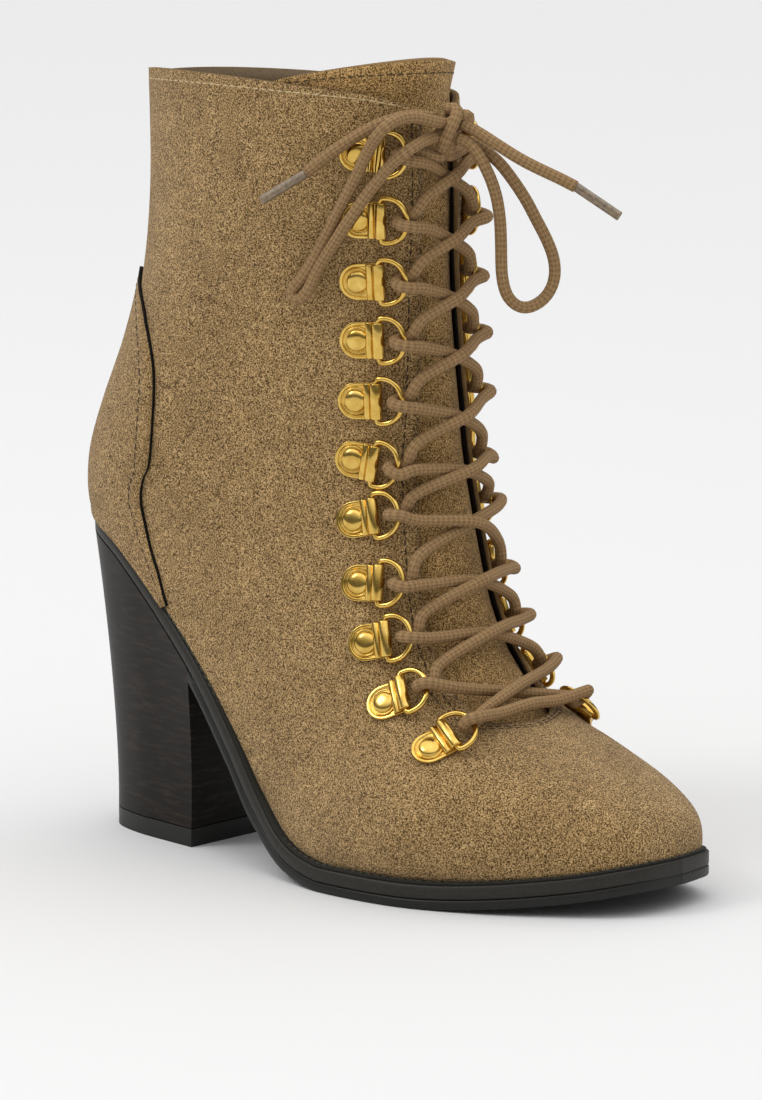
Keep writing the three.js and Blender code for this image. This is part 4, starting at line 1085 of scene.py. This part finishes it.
def collarRun(side, margin):
    u = last["collarRow"] - margin / last["rowSpacing"]
    shares = [n / 60 for n in range(1, 60) if n / 60 < stitch["collarEnd"]]
    return [(upperPoint(u, share, side), upperNormal(u, share, side)) for share in shares]


def seamRun(side, behind):  # on the counter, inside its seam
    run = []
    for u in rowsBetween(seamStart + 1.2, seamEnd - 0.1, 0.1):
        angle = max(seamAngle(u) - behind / stitch["seamHeight"], 0.05)
        way = outward(u, angle, side)
        run.append((surface(u, heightShare(angle), side) + way * (counter["clearance"] + counter["thickness"]), way))
    return run


def tongueRun(below):  # under the tongue's top edge, from the outer side to the inner one
    run = []
    for side in sides:
        for share in [n / 40 for n in range(1, 40)][::-side]:
            point = tonguePoint(last["collarRow"], share, side, 1 - below / tongue["rise"])
            way = outward(last["collarRow"] - 0.1, pi * (0.5 + 0.5 * share), side)
            run.append((point - way * (upper["wall"] + tongue["clearance"]), way))
    return run


bm = bmesh.new()
for side in sides:
    stitchRow(bm, facingRun(side, stitch["facing"]), upperSkin)
    stitchRow(bm, seamRun(side, stitch["seam"]))
finishMesh("upperStitches", bm, [darkThread])
bm = bmesh.new()
for side in sides:
    stitchRow(bm, [p for p in facingRun(side, stitch["throat"]) if p[0].z < stitch["throatTop"]], upperSkin)
stitchRow(bm, tongueRun(stitch["tongue"]), tongueSkin)
finishMesh("brownStitches", bm, [brownThread])
bm = bmesh.new()
for side in sides:
    stitchRow(bm, collarRun(side, stitch["collar"]), upperSkin)
finishMesh("collarStitches", bm, [paleThread])

# welt: a stitched strip between the upper's foot and the sole's edge
welt = {
    "rise": 0.9 * mm, "inset": 0.8 * mm, "least": 0.1 * mm, "sunk": 0.2 * mm, "bevel": 0.25 * mm, "under": 0.8 * mm,
    "stitchLine": 0.55, "pitch": 3.0 * mm, "length": 2.2 * mm, "thread": 0.7 * mm, "sink": 0.05 * mm,
}


def stripWidth(u):
    return max(sectionAt(u)["welt"] - welt["inset"], welt["least"])


bm = bmesh.new()
rings = soleSlab(bm, soleOutline(stripWidth), midTop + welt["rise"], midTop - welt["sunk"], welt["bevel"])
innerRing = []
for (_, point), outer in zip(soleOutline(lambda u: -welt["under"]), rings[0]):
    innerRing.append(bm.verts.new(Vector((point.x, point.y, outer.co.z - bootShift.z)) + bootShift))
for k in range(len(innerRing)):
    m = (k + 1) % len(innerRing)
    bm.faces.new((rings[0][k], rings[0][m], innerRing[m], innerRing[k]))
weld(bm, 1e-7)
finishMesh("weltStrip", bm, [weltStrip])
bm = bmesh.new()
stitchLine = soleOutline(lambda u: stripWidth(u) * welt["stitchLine"])
run = []
for u, point in stitchLine + stitchLine[:1]:
    z, slope = soleLevel(u, point.x)
    run.append((Vector((point.x, point.y, z + midTop + welt["rise"])) + bootShift, Vector((-slope, 0, 1)).normalized()))
stitchRow(bm, run, values=welt)
finishMesh("weltStitches", bm, [weltThread])
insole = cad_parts["insole"].data  # kept as it is, in lining leather
insole.materials.clear()
insole.materials.append(liningLeather)
print("stitches sewn")

# studio: a wide pale floor, a soft sky that is brightest at the horizon and overhead, and two soft lights
studio = {
    "tint": "#dfdfdf", "reach": 40.0, "sky": 1.58,
    "glow": [(0.0, "#c8c8c8"), (0.05, "#c8c8c8"), (0.1, "#525252"), (0.32, "#666666"), (0.8, "#ffffff")],
    "aim": (0, 0, 0.1),
    "lights": {"key": ((-1.0, -1.6, 1.9), 15, 0.9), "fill": ((1.9, -0.5, 1.2), 1, 1.2)},  # place, watts and width
}
floorMaterial, floorShader, _ = newMaterial("paintedBackdrop")
setSockets(floorMaterial, floorShader,
           {"Base Color": colour(studio["tint"]), "Roughness": 0.9, "Specular IOR Level": 0.1})
bm = bmesh.new()
bmesh.ops.create_grid(bm, x_segments=1, y_segments=1, size=studio["reach"])
newPiece("floor", bm, [floorMaterial])
world = bpy.data.worlds.new("studio")
world.use_nodes = True
direction = addNode(world, "TexCoord").outputs["Generated"]
upwards = addNode(world, "SeparateXYZ", links={"Vector": direction}).outputs["Z"]
glow = addNode(world, "ValToRGB", links={"Fac": upwards}, stops=studio["glow"])
setSockets(world, world.node_tree.nodes["Background"], {"Strength": studio["sky"]}, {"Color": glow.outputs["Color"]})
bpy.context.scene.world = world
bpy.context.scene.view_settings.view_transform = "Standard"
for name, (place, power, width) in studio["lights"].items():
    data = bpy.data.lights.new(name, "AREA")
    data.energy = power
    data.size = width
    light = bpy.data.objects.new(name, data)
    light.location = place
    light.rotation_euler = (Vector(place) - Vector(studio["aim"])).to_track_quat("Z", "Y").to_euler()
    bpy.context.scene.collection.objects.link(light)
print("studio lit")
